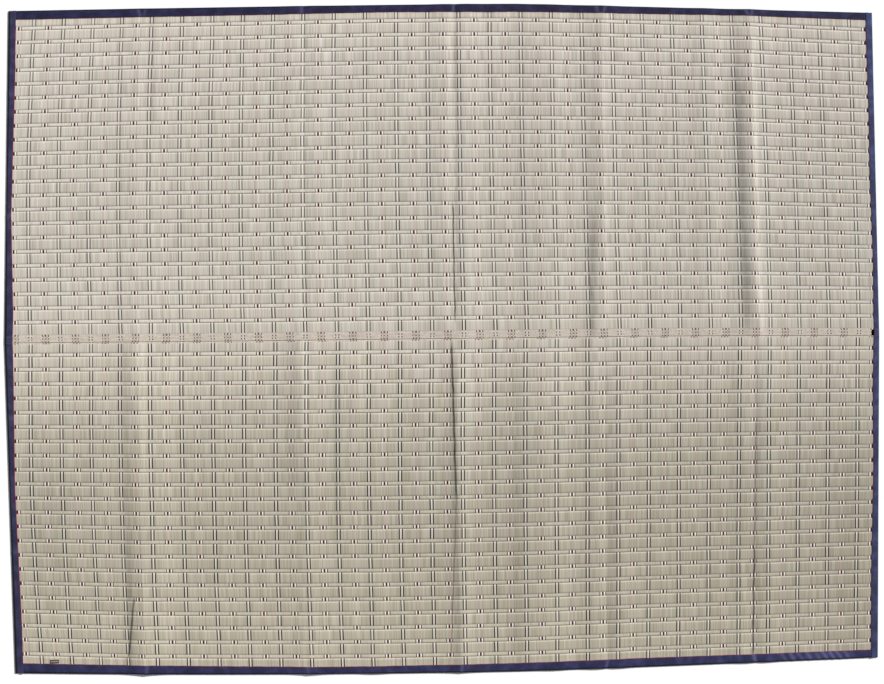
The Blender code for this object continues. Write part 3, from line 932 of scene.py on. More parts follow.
print("label at", tuple(round(value, 3) for value in label_middle))

# %% [markdown]
# ## Writing materials as short lines
# A node tree made by hand in code is long: each node and each link takes a line. The small helper below
# adds a node, fills its inputs with numbers or with other nodes' outputs, and returns its output. So a
# material reads like a formula. Everything the materials need is worked out from the UV maps and from the
# object's own coordinates, and so it stays put from every side.

# %% Node helper
class Graph:
    """Adds nodes to one tree. Every call returns an output socket."""

    def __init__(self, tree):
        self.tree = tree

    def add(self, kind, inputs=(), output=0, **settings):
        node = self.tree.nodes.new(kind)
        for key, value in settings.items():
            setattr(node, key, value)
        for key, value in dict(inputs).items():
            self.fill(node.inputs[key], value)
        return node.outputs[output]

    def fill(self, socket, value):
        if isinstance(value, bpy.types.NodeSocket):
            self.tree.links.new(value, socket)
        else:
            socket.default_value = value

    def math(self, operation, first, second=0.0, third=0.0):
        inputs = {0: first, 1: second, 2: third}
        return self.add("ShaderNodeMath", inputs, operation=operation)

    def band(self, value, middle, half, soft):
        """1 where the value is within half of the middle, with soft edges."""
        away = self.math("ABSOLUTE", self.math("SUBTRACT", value, middle))
        return self.step(away, half + soft, half - soft)

    def step(self, value, start, stop):
        """A smooth step from 0 at start to 1 at stop, which may be the lower one."""
        inputs = {"Value": value, "From Min": start, "From Max": stop}
        return self.add("ShaderNodeMapRange", inputs, interpolation_type="SMOOTHSTEP")

    def mix(self, share, first, second, blend="MIX"):
        inputs = {"Factor": share, 6: first, 7: second}
        return self.add("ShaderNodeMix", inputs, 2, data_type="RGBA", blend_type=blend)

    def noise(self, vector, scale, detail=2.0, roughness=0.5):
        inputs = {"Vector": vector, "Scale": scale, "Detail": detail, "Roughness": roughness}
        return self.add("ShaderNodeTexNoise", inputs, noise_dimensions="3D")

    def random(self, *parts):
        """A fixed random value for each combination of whole numbers."""
        return self.add("ShaderNodeTexWhiteNoise", {"Vector": self.vector(*parts)}, noise_dimensions="3D")

    def vector(self, x=0.0, y=0.0, z=0.0):
        return self.add("ShaderNodeCombineXYZ", {0: x, 1: y, 2: z})

    def split(self, vector):
        node = self.tree.nodes.new("ShaderNodeSeparateXYZ")
        self.fill(node.inputs[0], vector)
        return node.outputs


def new_group(name, inputs, outputs):
    """An empty shader group with named sockets, given as name: (type, default)."""
    tree = bpy.data.node_groups.new(name, "ShaderNodeTree")
    for label_text, (kind, value) in inputs.items():
        socket = tree.interface.new_socket(label_text, in_out="INPUT", socket_type="NodeSocket" + kind)
        socket.default_value = value
    for label_text, kind in outputs.items():
        tree.interface.new_socket(label_text, in_out="OUTPUT", socket_type="NodeSocket" + kind)
    graph = Graph(tree)
    entry = tree.nodes.new("NodeGroupInput")
    leave = tree.nodes.new("NodeGroupOutput")
    return tree, graph, entry.outputs, leave.inputs


def use_group(graph, tree, **inputs):
    """Places a group in a tree and returns all its outputs."""
    node = graph.tree.nodes.new("ShaderNodeGroup")
    node.node_tree = tree
    for key, value in inputs.items():
        graph.fill(node.inputs[key.replace("_", " ")], value)
    return node.outputs


def new_material(name, roughness, specular=0.5):
    """A material with its Principled shader, whose constant values are set on the shader itself."""
    material = bpy.data.materials.new(name)
    material.use_nodes = True
    shader = material.node_tree.nodes["Principled BSDF"]
    shader.inputs["Roughness"].default_value = roughness
    shader.inputs["Metallic"].default_value = 0.0
    shader.inputs["Specular IOR Level"].default_value = specular
    return material, Graph(material.node_tree), shader


def colour(red, green, blue):
    """A linear colour from the 0 to 255 values that a screen shows."""
    linear = []
    for value in (red, green, blue):
        share = value / 255
        linear.append(share / 12.92 if share <= 0.04045 else ((share + 0.055) / 1.055) ** 2.4)
    return (*linear, 1.0)


# %% [markdown]
# ## Finding the band
# The first group reads the `weave` map and says where a point lies: in a narrow band, in a wide one or in
# the selvedge, how far from the narrow band's middle and from the stalk's own, and a seed that is the same
# all over one band. The seed lets every band have its own stalks, because the stalks that float in one band
# dive under in the next.

# %% Band finder
REPEAT = 41.3 * MM
GROUP_STEP = 88.9 * MM
NARROW_HALF = 5.2 * MM / REPEAT

band_finder, g, given, result = new_group(
    "band finder",
    {"Weave": ("Vector", (0, 0, 0))},
    {"Group": "Float", "Across": "Float", "Along": "Float", "Narrow": "Float", "Selvedge": "Float",
     "Seed": "Float", "Rib": "Float"},
)
group_value, band_value, _ = g.split(given["Weave"])
nearest = g.math("ROUND", band_value)
across = g.math("SUBTRACT", band_value, nearest)
selvedge = g.step(band_value, -0.93, -0.95)
narrow = g.math("MULTIPLY", g.band(across, 0.0, NARROW_HALF, 0.008), g.math("SUBTRACT", 1.0, selvedge))
is_narrow = g.math("GREATER_THAN", narrow, 0.5)
wide_number = g.math("FLOOR", band_value)
floating = g.math("SUBTRACT", g.math("SUBTRACT", band_value, wide_number), 0.5)
along = g.math("MULTIPLY_ADD", is_narrow, g.math("SUBTRACT", across, floating), floating)
rib = g.math("MULTIPLY", g.math("SUBTRACT", SELVEDGE_BAND, band_value), SELVEDGE_DEPTH / RIB)
rib_seed = g.math("MULTIPLY", g.math("FLOOR", rib), selvedge)
seed = g.math("MULTIPLY_ADD", is_narrow, 40.5, wide_number)
seed = g.math("MULTIPLY_ADD", is_narrow, g.math("SUBTRACT", nearest, wide_number), seed)
seed = g.math("MULTIPLY_ADD", rib_seed, 3.0, seed)
for socket_name, value in (
    ("Group", group_value), ("Across", across), ("Along", along), ("Narrow", narrow),
    ("Selvedge", selvedge), ("Seed", seed), ("Rib", rib),
):
    g.fill(result[socket_name], value)
print("band finder:", len(band_finder.nodes), "nodes")

# %% [markdown]
# ## Rush stalks
# Rush is a smooth round stalk about 1.3 mm thick, from straw to grey green, and no two are alike. One group
# counts the stalks along the mat, gives each a random tone from the band's seed, adds broader streaks for
# stalks from the same bundle, and puts out a height with one rounded rib for each stalk.

# %% Stalk group
STALK = 1.35 * MM

rush_stalks, g, given, result = new_group(
    "rush stalks",
    {"Group": ("Float", 0.0), "Along": ("Float", 0.0), "Seed": ("Float", 0.0)},
    {"Tone": "Float", "Tint": "Float", "Height": "Float"},
)
lean = g.math("SUBTRACT", g.random(given["Seed"], g.math("ROUND", given["Group"]), 3.0), 0.5)
leaning = g.math("MULTIPLY_ADD", g.math("MULTIPLY", lean, 0.035), given["Along"], given["Group"])
count = g.math("MULTIPLY", leaning, GROUP_STEP / STALK)
number = g.math("FLOOR", count)
single = g.random(number, given["Seed"], 1.0)
fine_streak = g.noise(g.vector(g.math("MULTIPLY", count, 0.33), g.math("MULTIPLY", given["Seed"], 7.3)), 1.0)
broad_streak = g.noise(g.vector(g.math("MULTIPLY", count, 0.07), g.math("MULTIPLY", given["Seed"], 5.1), 4.0), 1.0)
tone = g.math("MULTIPLY_ADD", g.math("SUBTRACT", single, 0.5), 0.30, 0.5)
tone = g.math("MULTIPLY_ADD", g.math("SUBTRACT", fine_streak, 0.5), 1.05, tone)
tone = g.math("MULTIPLY_ADD", g.math("SUBTRACT", broad_streak, 0.5), 0.55, tone)
tint = g.noise(g.vector(g.math("MULTIPLY", count, 0.21), g.math("MULTIPLY", given["Seed"], 3.7), 9.0), 1.0)
inside = g.math("SUBTRACT", g.math("FRACT", count), 0.5)
round_rib = g.math("SUBTRACT", 1.0, g.math("MULTIPLY", g.math("MULTIPLY", inside, inside), 4.0))
g.fill(result["Tone"], tone)
g.fill(result["Tint"], tint)
g.fill(result["Height"], g.math("SQRT", g.math("MAXIMUM", round_rib, 0.0)))
print("rush stalks:", len(rush_stalks.nodes), "nodes")

# %% [markdown]
# ## Dyed stalks
# The dyed stalks make the pattern. A maroon group has a thick maroon middle and a thin black line on each
# side, and it shows only where a narrow band holds it on top. A dark pair shows only on the wide bands. In
# the selvedge both come up on every second rib, which gives small checks. Each mark varies a little in
# strength and place, because the stalks were laid in by hand.

# %% Dyed stalk group
dyed_stalks, g, given, result = new_group(
    "dyed stalks",
    {"Group": ("Float", 0.0), "Along": ("Float", 0.0), "Seed": ("Float", 0.0), "Narrow": ("Float", 0.0),
     "Selvedge": ("Float", 0.0), "Rib": ("Float", 0.0)},
    {"Maroon": "Float", "Black": "Float", "Grey": "Float", "Pale": "Float", "Blush": "Float"},
)
column = g.math("ROUND", given["Group"])
pair_column = g.math("FLOOR", given["Group"])
shift = g.math("MULTIPLY", g.math("SUBTRACT", g.random(given["Seed"], pair_column, 5.0), 0.5), 1.1)
slope = g.math("MULTIPLY", g.math("SUBTRACT", g.random(given["Seed"], pair_column, 6.0), 0.5), 1.6)
from_group = g.math("MULTIPLY", g.math("SUBTRACT", given["Group"], column), GROUP_STEP / MM)
from_pair = g.math("SUBTRACT", given["Group"], g.math("ADD", pair_column, 0.5))
from_pair = g.math("MULTIPLY_ADD", from_pair, GROUP_STEP / MM, shift)
from_pair = g.math("MULTIPLY_ADD", slope, given["Along"], from_pair)
group_shift = g.math("MULTIPLY", g.math("SUBTRACT", g.random(given["Seed"], column, 7.0), 0.5), 1.4)
from_group = g.math("ADD", from_group, group_shift)
left_strength = g.math("MULTIPLY_ADD", g.random(given["Seed"], column, 8.0), 0.6, 0.7)
right_strength = g.math("MULTIPLY_ADD", g.random(given["Seed"], column, 9.0), 0.6, 0.7)
maroon = g.band(from_group, 0.0, 2.7, 0.35)
left_line = g.math("MULTIPLY", g.band(from_group, -8.6, 1.25, 0.3), left_strength)
right_line = g.math("MULTIPLY", g.band(from_group, 8.6, 1.25, 0.3), right_strength)
black = g.math("MINIMUM", g.math("ADD", left_line, right_line), 1.0)
halo = g.math("SUBTRACT", g.band(from_group, 0.0, 7.0, 0.3), maroon)
pair_strength = g.math("MULTIPLY_ADD", g.random(given["Seed"], pair_column, 2.0), 0.3, 0.75)
left_pair = g.band(from_pair, -4.3, 1.6, 0.3)
right_pair = g.band(from_pair, 4.3, 1.6, 0.3)
pair = g.math("MULTIPLY", g.math("ADD", left_pair, right_pair), pair_strength)
pair_gap = g.math("MULTIPLY", g.band(from_pair, 0.0, 1.8, 0.7), 0.62)
odd_rib = g.math("MODULO", g.math("FLOOR", given["Rib"]), 2.0)
even_rib = g.math("SUBTRACT", 1.0, odd_rib)
in_selvedge = given["Selvedge"]
group_shows = g.math("MULTIPLY_ADD", in_selvedge, even_rib, given["Narrow"])
other_shows = g.math("MULTIPLY", in_selvedge, odd_rib)
open_wide = g.math("SUBTRACT", g.math("SUBTRACT", 1.0, given["Narrow"]), in_selvedge)
pair_shows = g.math("MULTIPLY_ADD", in_selvedge, odd_rib, open_wide)
black_total = g.math("MULTIPLY", black, group_shows)
black_total = g.math("MULTIPLY_ADD", g.math("MULTIPLY", halo, 0.25), other_shows, black_total)
pale_total = g.math("MULTIPLY_ADD", pair_gap, pair_shows, g.math("MULTIPLY", halo, given["Narrow"]))
blush = g.math("MULTIPLY", g.band(from_group, 0.5, 1.6, 0.8), open_wide)
for socket_name, value in (
    ("Maroon", g.math("MULTIPLY", maroon, group_shows)), ("Black", black_total),
    ("Grey", g.math("MULTIPLY", pair, pair_shows)), ("Pale", pale_total), ("Blush", blush),
):
    g.fill(result[socket_name], value)
print("dyed stalks:", len(dyed_stalks.nodes), "nodes")

# %% [markdown]
# ## Sharp creases
# Where a fold was pressed hard, a thin dark line runs along it: painted shadow of the pinched crease, over the
# cracked rush's own darkness. The line is too fine for the grid, so it is drawn in the material from the
# object's own coordinates: a straight line between two points, with a little wobble and with strong and weak
# stretches. A group makes one line, and a table places them.

# %% Crease shadow line group
crease_shadow_line, g, given, result = new_group(
    "crease shadow line",
    {"Place": ("Vector", (0, 0, 0)), "Low x": ("Float", 0.0), "Low y": ("Float", 0.0), "High x": ("Float", 0.0),
     "High y": ("Float", 1.0), "Half": ("Float", 2.0 * MM)},
    {"Mask": "Float"},
)
line_x, line_y, _ = g.split(given["Place"])
rise = g.math("SUBTRACT", given["High y"], given["Low y"])
risen = g.math("DIVIDE", g.math("SUBTRACT", line_y, given["Low y"]), rise)
wobble = g.math("SUBTRACT", g.noise(g.vector(g.math("MULTIPLY", line_y, 16.0), given["Low x"]), 1.0), 0.5)
middle = g.math("MULTIPLY_ADD", risen, g.math("SUBTRACT", given["High x"], given["Low x"]), given["Low x"])
middle = g.math("MULTIPLY_ADD", wobble, 7.0 * MM, middle)
away = g.math("ABSOLUTE", g.math("SUBTRACT", line_x, middle))
line = g.step(away, g.math("MULTIPLY", given["Half"], 1.5), g.math("MULTIPLY", given["Half"], 0.4))
line = g.math("MULTIPLY", line, g.math("MULTIPLY", g.step(risen, -0.04, 0.06), g.step(risen, 1.04, 0.94)))
stretches = g.noise(g.vector(g.math("MULTIPLY", line_y, 26.0), given["High x"], 3.0), 1.0)
g.fill(result["Mask"], g.math("MULTIPLY", line, g.math("MULTIPLY_ADD", stretches, 1.0, 0.45)))
print("crease shadow line:", len(crease_shadow_line.nodes), "nodes")

# %% [markdown]
# ## The rush cloth
# Now the pieces come together. The stalks' tone picks a straw colour. A slow tone across the mat gives the
# yellowed zones of the real cloth, and it also paints the light's falloff, paler towards the far edge. Along
# the mat a painted falloff darkens it to the right, and painted shade and bruising darken it beside the folds.
# Thin brown warps lie in the grooves beside each narrow band, the groove on each band's near side is drawn
# darker as painted shade, and the wide band's rim beside it gets a painted highlight. The dyed stalks go on
# last. The roughness follows the tone, because pale stalks are the shiny ones.

# %% Rush material
# A tone across the mat: partly the cloth's own yellowing, partly painted light falloff, paler towards the far edge.
Tone = namedtuple("Tone", "place red green blue")
TONES = (
    Tone(0.00, 0.800, 0.793, 0.755), Tone(0.04, 0.770, 0.763, 0.725), Tone(0.18, 0.685, 0.676, 0.647),
    Tone(0.36, 0.717, 0.725, 0.709), Tone(0.46, 0.885, 0.879, 0.889), Tone(0.55, 0.934, 0.941, 0.979),
    Tone(0.64, 0.856, 0.870, 0.907), Tone(0.84, 0.903, 0.908, 0.954), Tone(0.93, 0.922, 0.926, 1.000),
    Tone(1.00, 1.000, 0.998, 1.000),
)
CreaseShadowLine = namedtuple("CreaseShadowLine", "low_x low_y high_x high_y half dark")
CREASE_SHADOW_LINES = (
    CreaseShadowLine(-0.0007, -0.9205, 0.0188, -0.4653, half=2.2 * MM, dark=0.48),
    CreaseShadowLine(0.0188, -0.4653, 0.0088, -0.0080, half=3.0 * MM, dark=0.90),
    CreaseShadowLine(0.0199, 0.0533, 0.0168, 0.3900, half=2.2 * MM, dark=0.95),
    CreaseShadowLine(0.8794, -0.9294, 0.8865, -0.6091, half=3.0 * MM, dark=0.88),
    CreaseShadowLine(0.8865, -0.6091, 0.8941, -0.2453, half=2.6 * MM, dark=0.55),
    CreaseShadowLine(-0.9195, -0.8993, -0.9037, -0.7312, half=3.0 * MM, dark=0.80),
    CreaseShadowLine(0.4170, 0.1150, 0.4025, 0.2600, half=2.2 * MM, dark=0.32),
)
# painted light falloff along the mat
LIGHT_FALLOFF_AT_MIDDLE = 0.923  # the mat is palest at its left end and darkens to the right
LIGHT_FALLOFF_PER_METRE = -0.068

rush, g, shader = new_material("rush cloth", roughness=0.5, specular=0.28)
weave_map = g.add("ShaderNodeUVMap", uv_map="weave")
found = use_group(g, band_finder, Weave=weave_map)
stalks = use_group(g, rush_stalks, Group=found["Group"], Along=found["Along"], Seed=found["Seed"])
dyes = use_group(
    g, dyed_stalks, Group=found["Group"], Along=found["Along"], Seed=found["Seed"],
    Narrow=found["Narrow"], Selvedge=found["Selvedge"], Rib=found["Rib"],
)
DARK_STRAW = colour(176, 166, 146)
PALE_STRAW = colour(226, 219, 204)
straw = g.mix(g.step(stalks["Tone"], 0.0, 1.0), DARK_STRAW, PALE_STRAW)
straw = g.mix(g.math("MULTIPLY", g.step(stalks["Tint"], 0.52, 0.75), 0.35), straw, colour(214, 196, 186))
straw = g.mix(g.math("MULTIPLY", g.step(stalks["Tint"], 0.48, 0.25), 0.35), straw, colour(192, 200, 180))
straw = g.mix(g.math("MULTIPLY", found["Narrow"], 0.40), straw, colour(228, 222, 208))
own_coordinates = g.add("ShaderNodeTexCoord", output="Object")
own_place = g.split(own_coordinates)
ramp = g.tree.nodes.new("ShaderNodeValToRGB")
ramp.color_ramp.interpolation = "B_SPLINE"
for number, tone in enumerate(TONES):
    stop = ramp.color_ramp.elements[number] if number < 2 else ramp.color_ramp.elements.new(tone.place)
    stop.position = tone.place
    stop.color = (tone.red, tone.green, tone.blue, 1.0)
g.fill(ramp.inputs[0], g.math("MULTIPLY_ADD", own_place[1], 0.5 / FAR_EDGE.crown, 0.5))
straw = g.mix(1.0, straw, ramp.outputs[0], blend="MULTIPLY")
# Painted light falloff along the mat, and painted shade and bruising beside the folds, darken the straw.
light_falloff = g.math("MULTIPLY_ADD", own_place[0], LIGHT_FALLOFF_PER_METRE, LIGHT_FALLOFF_AT_MIDDLE)
fold_shade_and_bruise = g.add("ShaderNodeAttribute", output="Fac", attribute_name="fold_shade_and_bruise")
falloff_shade_and_bruise = g.math("MULTIPLY", light_falloff, g.math("SUBTRACT", 1.0, fold_shade_and_bruise))
straw = g.mix(1.0, straw, g.vector(falloff_shade_and_bruise, falloff_shade_and_bruise, falloff_shade_and_bruise), blend="MULTIPLY")
to_far = g.math("MULTIPLY", found["Across"], g.math("SIGN", own_place[1]))
open_cloth = g.math("SUBTRACT", 1.0, found["Selvedge"])
# The grooves hold brown warps; the near-side groove is drawn stronger and wider as painted shade, and lit_rim is a
# painted highlight.
far_groove = g.math("MULTIPLY", g.band(to_far, NARROW_HALF + 0.010, 0.012, 0.008), 0.60)
near_groove = g.math("MULTIPLY", g.band(to_far, -0.118, 0.020, 0.008), 0.95)
groove = g.math("MULTIPLY", g.math("ADD", far_groove, near_groove), open_cloth)
lit_rim = g.math("MULTIPLY", g.band(to_far, -0.200, 0.030, 0.022), open_cloth)
straw = g.mix(g.math("MULTIPLY", lit_rim, 0.30), straw, colour(232, 227, 212))
rib_place = g.math("SUBTRACT", g.math("FRACT", found["Rib"]), 0.5)
rib_groove = g.math("MULTIPLY", g.step(g.math("ABSOLUTE", rib_place), 0.34, 0.47), found["Selvedge"])
warps_and_groove_shade = g.math("MAXIMUM", groove, g.math("MULTIPLY", rib_groove, 0.62))
straw = g.mix(g.math("MULTIPLY", found["Selvedge"], 0.14), straw, colour(244, 230, 214))
straw = g.mix(warps_and_groove_shade, straw, g.mix(found["Selvedge"], colour(118, 92, 80), colour(150, 108, 98)))
straw = g.mix(g.math("MULTIPLY", dyes["Pale"], 0.75), straw, colour(236, 231, 220))
straw = g.mix(g.math("MULTIPLY", dyes["Blush"], 0.16), straw, colour(206, 150, 140))
dye_depth = g.math("MULTIPLY_ADD", g.step(own_place[1], 0.2, -0.2), 0.24, 0.88)
dark_pair = g.math("MINIMUM", g.math("MULTIPLY", dyes["Grey"], dye_depth), 1.0)
dark_line = g.math("MINIMUM", g.math("MULTIPLY", dyes["Black"], dye_depth), 1.0)
straw = g.mix(dark_pair, straw, colour(30, 27, 30))
straw = g.mix(dark_line, straw, colour(30, 17, 22))
maroon_place = g.step(found["Across"], -0.08, 0.08)
maroon_share = g.math("MULTIPLY", dyes["Maroon"], g.math("MULTIPLY_ADD", found["Selvedge"], -0.3, 1.0))
straw = g.mix(maroon_share, straw, g.mix(maroon_place, colour(58, 8, 18), colour(92, 22, 38)))
# Painted shadow along the pinched creases, partly the cracked rush's own darkness.
for line in CREASE_SHADOW_LINES:
    drawn = use_group(
        g, crease_shadow_line, Place=own_coordinates, Low_x=line.low_x, Low_y=line.low_y, High_x=line.high_x,
        High_y=line.high_y, Half=line.half,
    )
    straw = g.mix(g.math("MULTIPLY", drawn["Mask"], line.dark), straw, colour(52, 50, 48))
g.fill(shader.inputs["Base Color"], straw)
g.fill(shader.inputs["Roughness"], g.math("MULTIPLY_ADD", stalks["Tone"], -0.16, 0.67))
warp_knots = g.math("SINE", g.math("MULTIPLY", found["Group"], TURN * GROUP_STEP / (2 * STALK)))
relief = g.math("MULTIPLY_ADD", g.math("MULTIPLY", warp_knots, rib_groove), 0.4, stalks["Height"])
relief = g.math("SUBTRACT", relief, g.math("MULTIPLY", warps_and_groove_shade, 0.8))
bump = g.add("ShaderNodeBump", {"Height": relief, "Strength": 0.7, "Distance": 0.25 * MM})
g.fill(shader.inputs["Normal"], bump)
for width in (far_width, near_width):
    width.data.materials.append(rush)
print("rush cloth:", len(rush.node_tree.nodes), "nodes")

# %% [markdown]
# ## Cotton
# Tape, label and thread are all cotton, so one group makes their weave: two sets of fine threads that pass
# over and under each other, with slow cloudy wear on top. Each material then gives it its own scale, colour
# and strength. The tape is a close plain weave with about two threads to the millimetre.

# %% Cotton group
cotton_weave, g, given, result = new_group(
    "cotton weave",
    {"Place": ("Vector", (0, 0, 0)), "Thread": ("Float", 0.5 * MM), "Dark": ("Color", (0, 0, 0, 1)),
     "Light": ("Color", (1, 1, 1, 1)), "Wear": ("Float", 0.5)},
    {"Color": "Color", "Roughness": "Float", "Height": "Float"},
)
along_place, across_place, _ = g.split(given["Place"])
warp_turn = g.math("MULTIPLY", g.math("DIVIDE", along_place, given["Thread"]), np.pi)
weft_turn = g.math("MULTIPLY", g.math("DIVIDE", across_place, given["Thread"]), np.pi)
crossing = g.math("MULTIPLY", g.math("SINE", warp_turn), g.math("SINE", weft_turn))
thread_height = g.math("MULTIPLY_ADD", crossing, 0.5, 0.5)
clouds = g.noise(given["Place"], 34.0, detail=3.0)
slubs = g.noise(g.vector(g.math("MULTIPLY", along_place, 90.0), g.math("MULTIPLY", across_place, 900.0)), 1.0)
wear = g.math("MULTIPLY", g.step(clouds, 0.35, 0.75), given["Wear"])
share = g.math("MULTIPLY_ADD", g.math("SUBTRACT", slubs, 0.5), 0.5, wear)
share = g.math("MULTIPLY_ADD", thread_height, 0.25, share)
g.fill(result["Color"], g.mix(share, given["Dark"], given["Light"]))
g.fill(result["Roughness"], g.math("MULTIPLY_ADD", share, -0.12, 0.86))
g.fill(result["Height"], thread_height)
print("cotton weave:", len(cotton_weave.nodes), "nodes")

# %% [markdown]
# ## Four shades of navy
# The four strips are one navy tape. Each is drawn in its own shade, lighter or darker as painted light for
# how the light falls on it, and with a tone that changes from one of its ends to the other. A maroon thread
# runs along the inner edge. The folded outer edge, turned away from the light, gets painted shade that is
# nearly black, and the crests of the puckers get a painted highlight.

# %% Tape materials
EDGE_LINE = 1.5 * MM  # a maroon thread runs along the tape's inner edge
NOSE_LENGTH = 5.5 * MM
LONG_REACH = 1.3  # how far from the middle the maroon line runs
SIDE_REACH = 0.932  # on the side tapes it stops at the corners
TapeShade = namedtuple("TapeShade", "name dark light line start stop rim")


def tape_material(shade, flap, reach):
    """Navy cotton tape in one of its shades, with its maroon inner line and painted shade on its folded outer edge.
    """
    material, graph, shader = new_material(shade.name, roughness=0.85, specular=0.25)
    cloth_map = graph.add("ShaderNodeUVMap", uv_map="cloth")
    woven = use_group(
        graph, cotton_weave, Place=cloth_map, Thread=0.55 * MM, Dark=shade.dark, Light=shade.light, Wear=0.6
    )
    run, from_edge, _ = graph.split(cloth_map)
    drawn_in = graph.add("ShaderNodeAttribute", output="Fac", attribute_name="drawn_in")
    # Painted highlight on the puckers' crests, by how high each point's pucker stands.
    crest_highlight = graph.math("MINIMUM", graph.math("MULTIPLY", drawn_in, 0.32), 0.5)
    shown = graph.mix(crest_highlight, woven["Color"], colour(112, 114, 158))
    middle = (shade.start + shade.stop) / 2
    tone = graph.math("MULTIPLY_ADD", run, (shade.stop - middle) / reach, middle)
    shown = graph.mix(1.0, shown, graph.vector(tone, tone, tone), blend="MULTIPLY")
    # Painted shade: the folded outer edge, turned away from the light, is drawn nearly black.
    rim = graph.step(from_edge, flap - shade.rim, flap - shade.rim + 2.5 * MM)
    rim = graph.math("MULTIPLY", rim, graph.step(from_edge, flap + NOSE_LENGTH, flap + NOSE_LENGTH - 2 * MM))
    shown = graph.mix(graph.math("MULTIPLY", rim, 0.88), shown, colour(8, 6, 16))
    line = graph.step(from_edge, 1.3 * EDGE_LINE, 0.7 * EDGE_LINE)
    line = graph.math("MULTIPLY", line, graph.math("LESS_THAN", graph.math("ABSOLUTE", run), reach))
    shown = graph.mix(graph.math("MULTIPLY", line, 0.8), shown, shade.line)
    graph.fill(shader.inputs["Base Color"], shown)
    graph.fill(shader.inputs["Roughness"], woven["Roughness"])
    bump = graph.add("ShaderNodeBump", {"Height": woven["Height"], "Strength": 0.5, "Distance": 0.15 * MM})
    graph.fill(shader.inputs["Normal"], bump)
    shader.inputs["Sheen Weight"].default_value = 0.05
    shader.inputs["Sheen Roughness"].default_value = 0.5
    return material


# One navy, painted lighter or darker on each strip for the light that falls on it.
FAR_SHADE = TapeShade(
    "navy tape far", colour(20, 19, 46), colour(46, 45, 88), colour(104, 22, 48), start=0.95, stop=1.05, rim=4.5 * MM
)
NEAR_SHADE = TapeShade(
    "navy tape near", colour(28, 29, 58), colour(58, 60, 102), colour(140, 48, 52), start=0.85, stop=1.15, rim=5 * MM
)
LEFT_SHADE = TapeShade(
    "navy tape left", colour(34, 33, 60), colour(64, 64, 98), colour(128, 24, 50), start=0.90, stop=1.10, rim=6.5 * MM
)
RIGHT_SHADE = TapeShade(
    "navy tape right", colour(38, 43, 72), colour(68, 77, 117), colour(104, 22, 48), start=0.84, stop=1.16, rim=0.0
)
far_cotton = tape_material(FAR_SHADE, FLAP_LONG, LONG_REACH)
near_cotton = tape_material(NEAR_SHADE, FLAP_LONG, LONG_REACH)
left_cotton = tape_material(LEFT_SHADE, FLAP_SIDE, SIDE_REACH)
right_cotton = tape_material(RIGHT_SHADE, FLAP_SIDE, SIDE_REACH)
for tape, cotton in (
    (far_tape, far_cotton), (near_tape, near_cotton), (left_tape, left_cotton), (right_tape, right_cotton),
):
    tape.data.materials.append(cotton)
print("four shades of tape")


# %% Thread and label materials
def thread_material(name, dark, light):
    """Sewing thread, with its own place as the pattern's place."""
    material, graph, shader = new_material(name, roughness=0.7, specular=0.3)
    own = graph.add("ShaderNodeTexCoord", output="Object")
    woven = use_group(graph, cotton_weave, Place=own, Thread=0.3 * MM, Dark=dark, Light=light, Wear=0.5)
    graph.fill(shader.inputs["Base Color"], woven["Color"])
    graph.fill(shader.inputs["Roughness"], woven["Roughness"])
    bump = graph.add("ShaderNodeBump", {"Height": woven["Height"], "Strength": 0.5, "Distance": 0.08 * MM})
    graph.fill(shader.inputs["Normal"], bump)
    return material


pale_thread = thread_material("pale thread", colour(176, 150, 138), colour(214, 196, 184))
for thread in seam_threads:
    thread.data.materials.append(pale_thread)
navy_thread = thread_material("navy thread", colour(24, 24, 52), colour(52, 54, 92))
for thread in tape_threads:
    thread.data.materials.append(navy_thread)

label_cloth, g, shader = new_material("label cloth", roughness=0.7)
label_map = g.add("ShaderNodeUVMap", uv_map="cloth")
label_x, label_y, _ = g.split(label_map)
sized = g.vector(g.math("MULTIPLY", label_x, LABEL_SIZE.x), g.math("MULTIPLY", label_y, LABEL_SIZE.y))
woven = use_group(g, cotton_weave, Place=sized, Thread=0.35 * MM, Dark=colour(22, 15, 16),
                  Light=colour(46, 34, 34), Wear=0.5)
field = g.step(g.math("ABSOLUTE", label_x), 0.45, 0.42)
field = g.math("MULTIPLY", field, g.step(g.math("ABSOLUTE", label_y), 0.26, 0.18))
shown = g.mix(g.math("MULTIPLY", field, 0.85), woven["Color"], colour(150, 141, 126))
g.fill(shader.inputs["Base Color"], shown)
g.fill(shader.inputs["Roughness"], woven["Roughness"])
bump = g.add("ShaderNodeBump", {"Height": woven["Height"], "Strength": 0.6, "Distance": 0.1 * MM})
g.fill(shader.inputs["Normal"], bump)
label.data.materials.append(label_cloth)
print("thread and label finished")

# %% [markdown]
# ## Floor and light
# The floor is plain and nearly white. The light is one very soft sun from the far right, low enough for the
# folds and bands to show, and an even pale sky that fills the shadows. The view transform is the plain one,
# so that a pale floor stays pale and the navy stays deep.

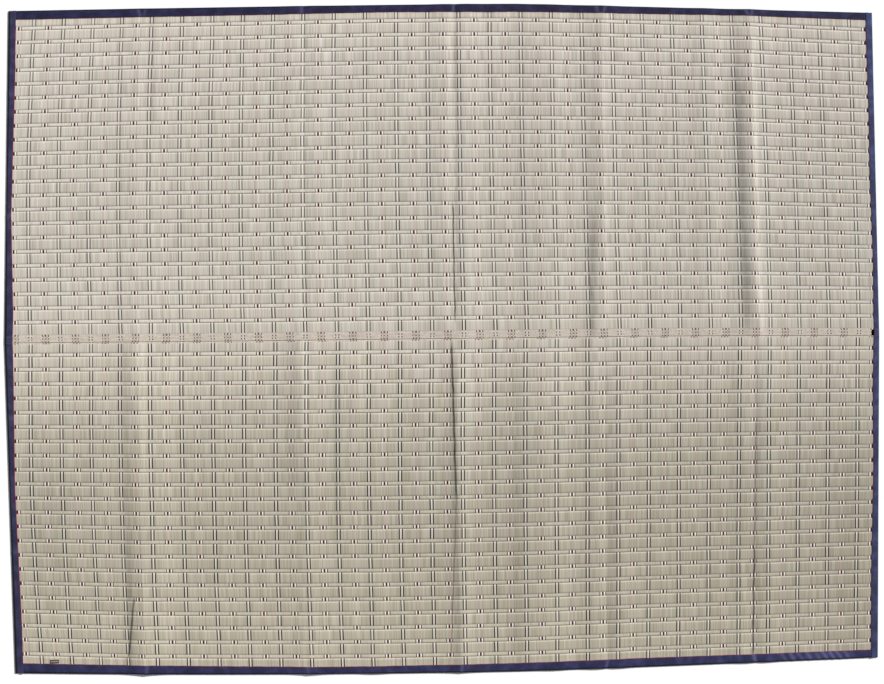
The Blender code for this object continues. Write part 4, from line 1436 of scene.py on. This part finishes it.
# %% Floor and light
FLOOR_SIZE = 30.0
FLOOR_DROP = 0.2 * MM
SUN_HEIGHT = np.radians(31)
SUN_SIDE = np.radians(38)  # from the mat's length towards its far side
SUN_POWER = 5.1
SUN_SOFTNESS = np.radians(7)
SKY = (0.97, 0.98, 1.0, 1.0)
SKY_POWER = 0.27

bm = bmesh.new()
bmesh.ops.create_grid(bm, x_segments=1, y_segments=1, size=FLOOR_SIZE / 2)
bmesh.ops.translate(bm, vec=(0, 0, -FLOOR_DROP), verts=bm.verts)
floor = keep_object("floor", bm)
floor_paint, g, shader = new_material("floor paint", roughness=0.9, specular=0.1)
shader.inputs["Base Color"].default_value = (0.93, 0.93, 0.93, 1.0)
floor.data.materials.append(floor_paint)

sun_data = bpy.data.lights.new("soft sun", "SUN")
sun_data.energy = SUN_POWER
sun_data.angle = SUN_SOFTNESS
sun = bpy.data.objects.new("soft sun", sun_data)
towards = Vector((np.cos(SUN_HEIGHT) * np.cos(SUN_SIDE), np.cos(SUN_HEIGHT) * np.sin(SUN_SIDE), np.sin(SUN_HEIGHT)))
sun.rotation_euler = towards.to_track_quat("Z", "Y").to_euler()
bpy.context.scene.collection.objects.link(sun)

sky = bpy.data.worlds.new("pale sky")
sky.use_nodes = True
sky.node_tree.nodes["Background"].inputs["Color"].default_value = SKY
sky.node_tree.nodes["Background"].inputs["Strength"].default_value = SKY_POWER
bpy.context.scene.world = sky
bpy.context.scene.view_settings.view_transform = "Standard"
print("floor, sun and sky")

# %% [markdown]
# ## Tying the pieces to the frame
# Each piece is parented to the body it rides on, and the CAD node it stands for is hidden. Nothing moves on a
# mat, so there is one body, `root`.

# %% Tie to the frame
pieces = {
    "rush_cloth": [
        (far_width, "rush_width_far"), (near_width, "rush_width_near"), *((thread, None) for thread in seam_threads),
    ],
    "binding_tape": [
        (far_tape, "binding_far"), (near_tape, "binding_near"), (left_tape, "binding_left"),
        (right_tape, "binding_right"), *((thread, None) for thread in tape_threads),
    ],
    "label_cloth": [(label, "label")],
}
for slot, members in pieces.items():
    for piece, node in members:
        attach(piece, "root")
        if node:
            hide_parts(node)
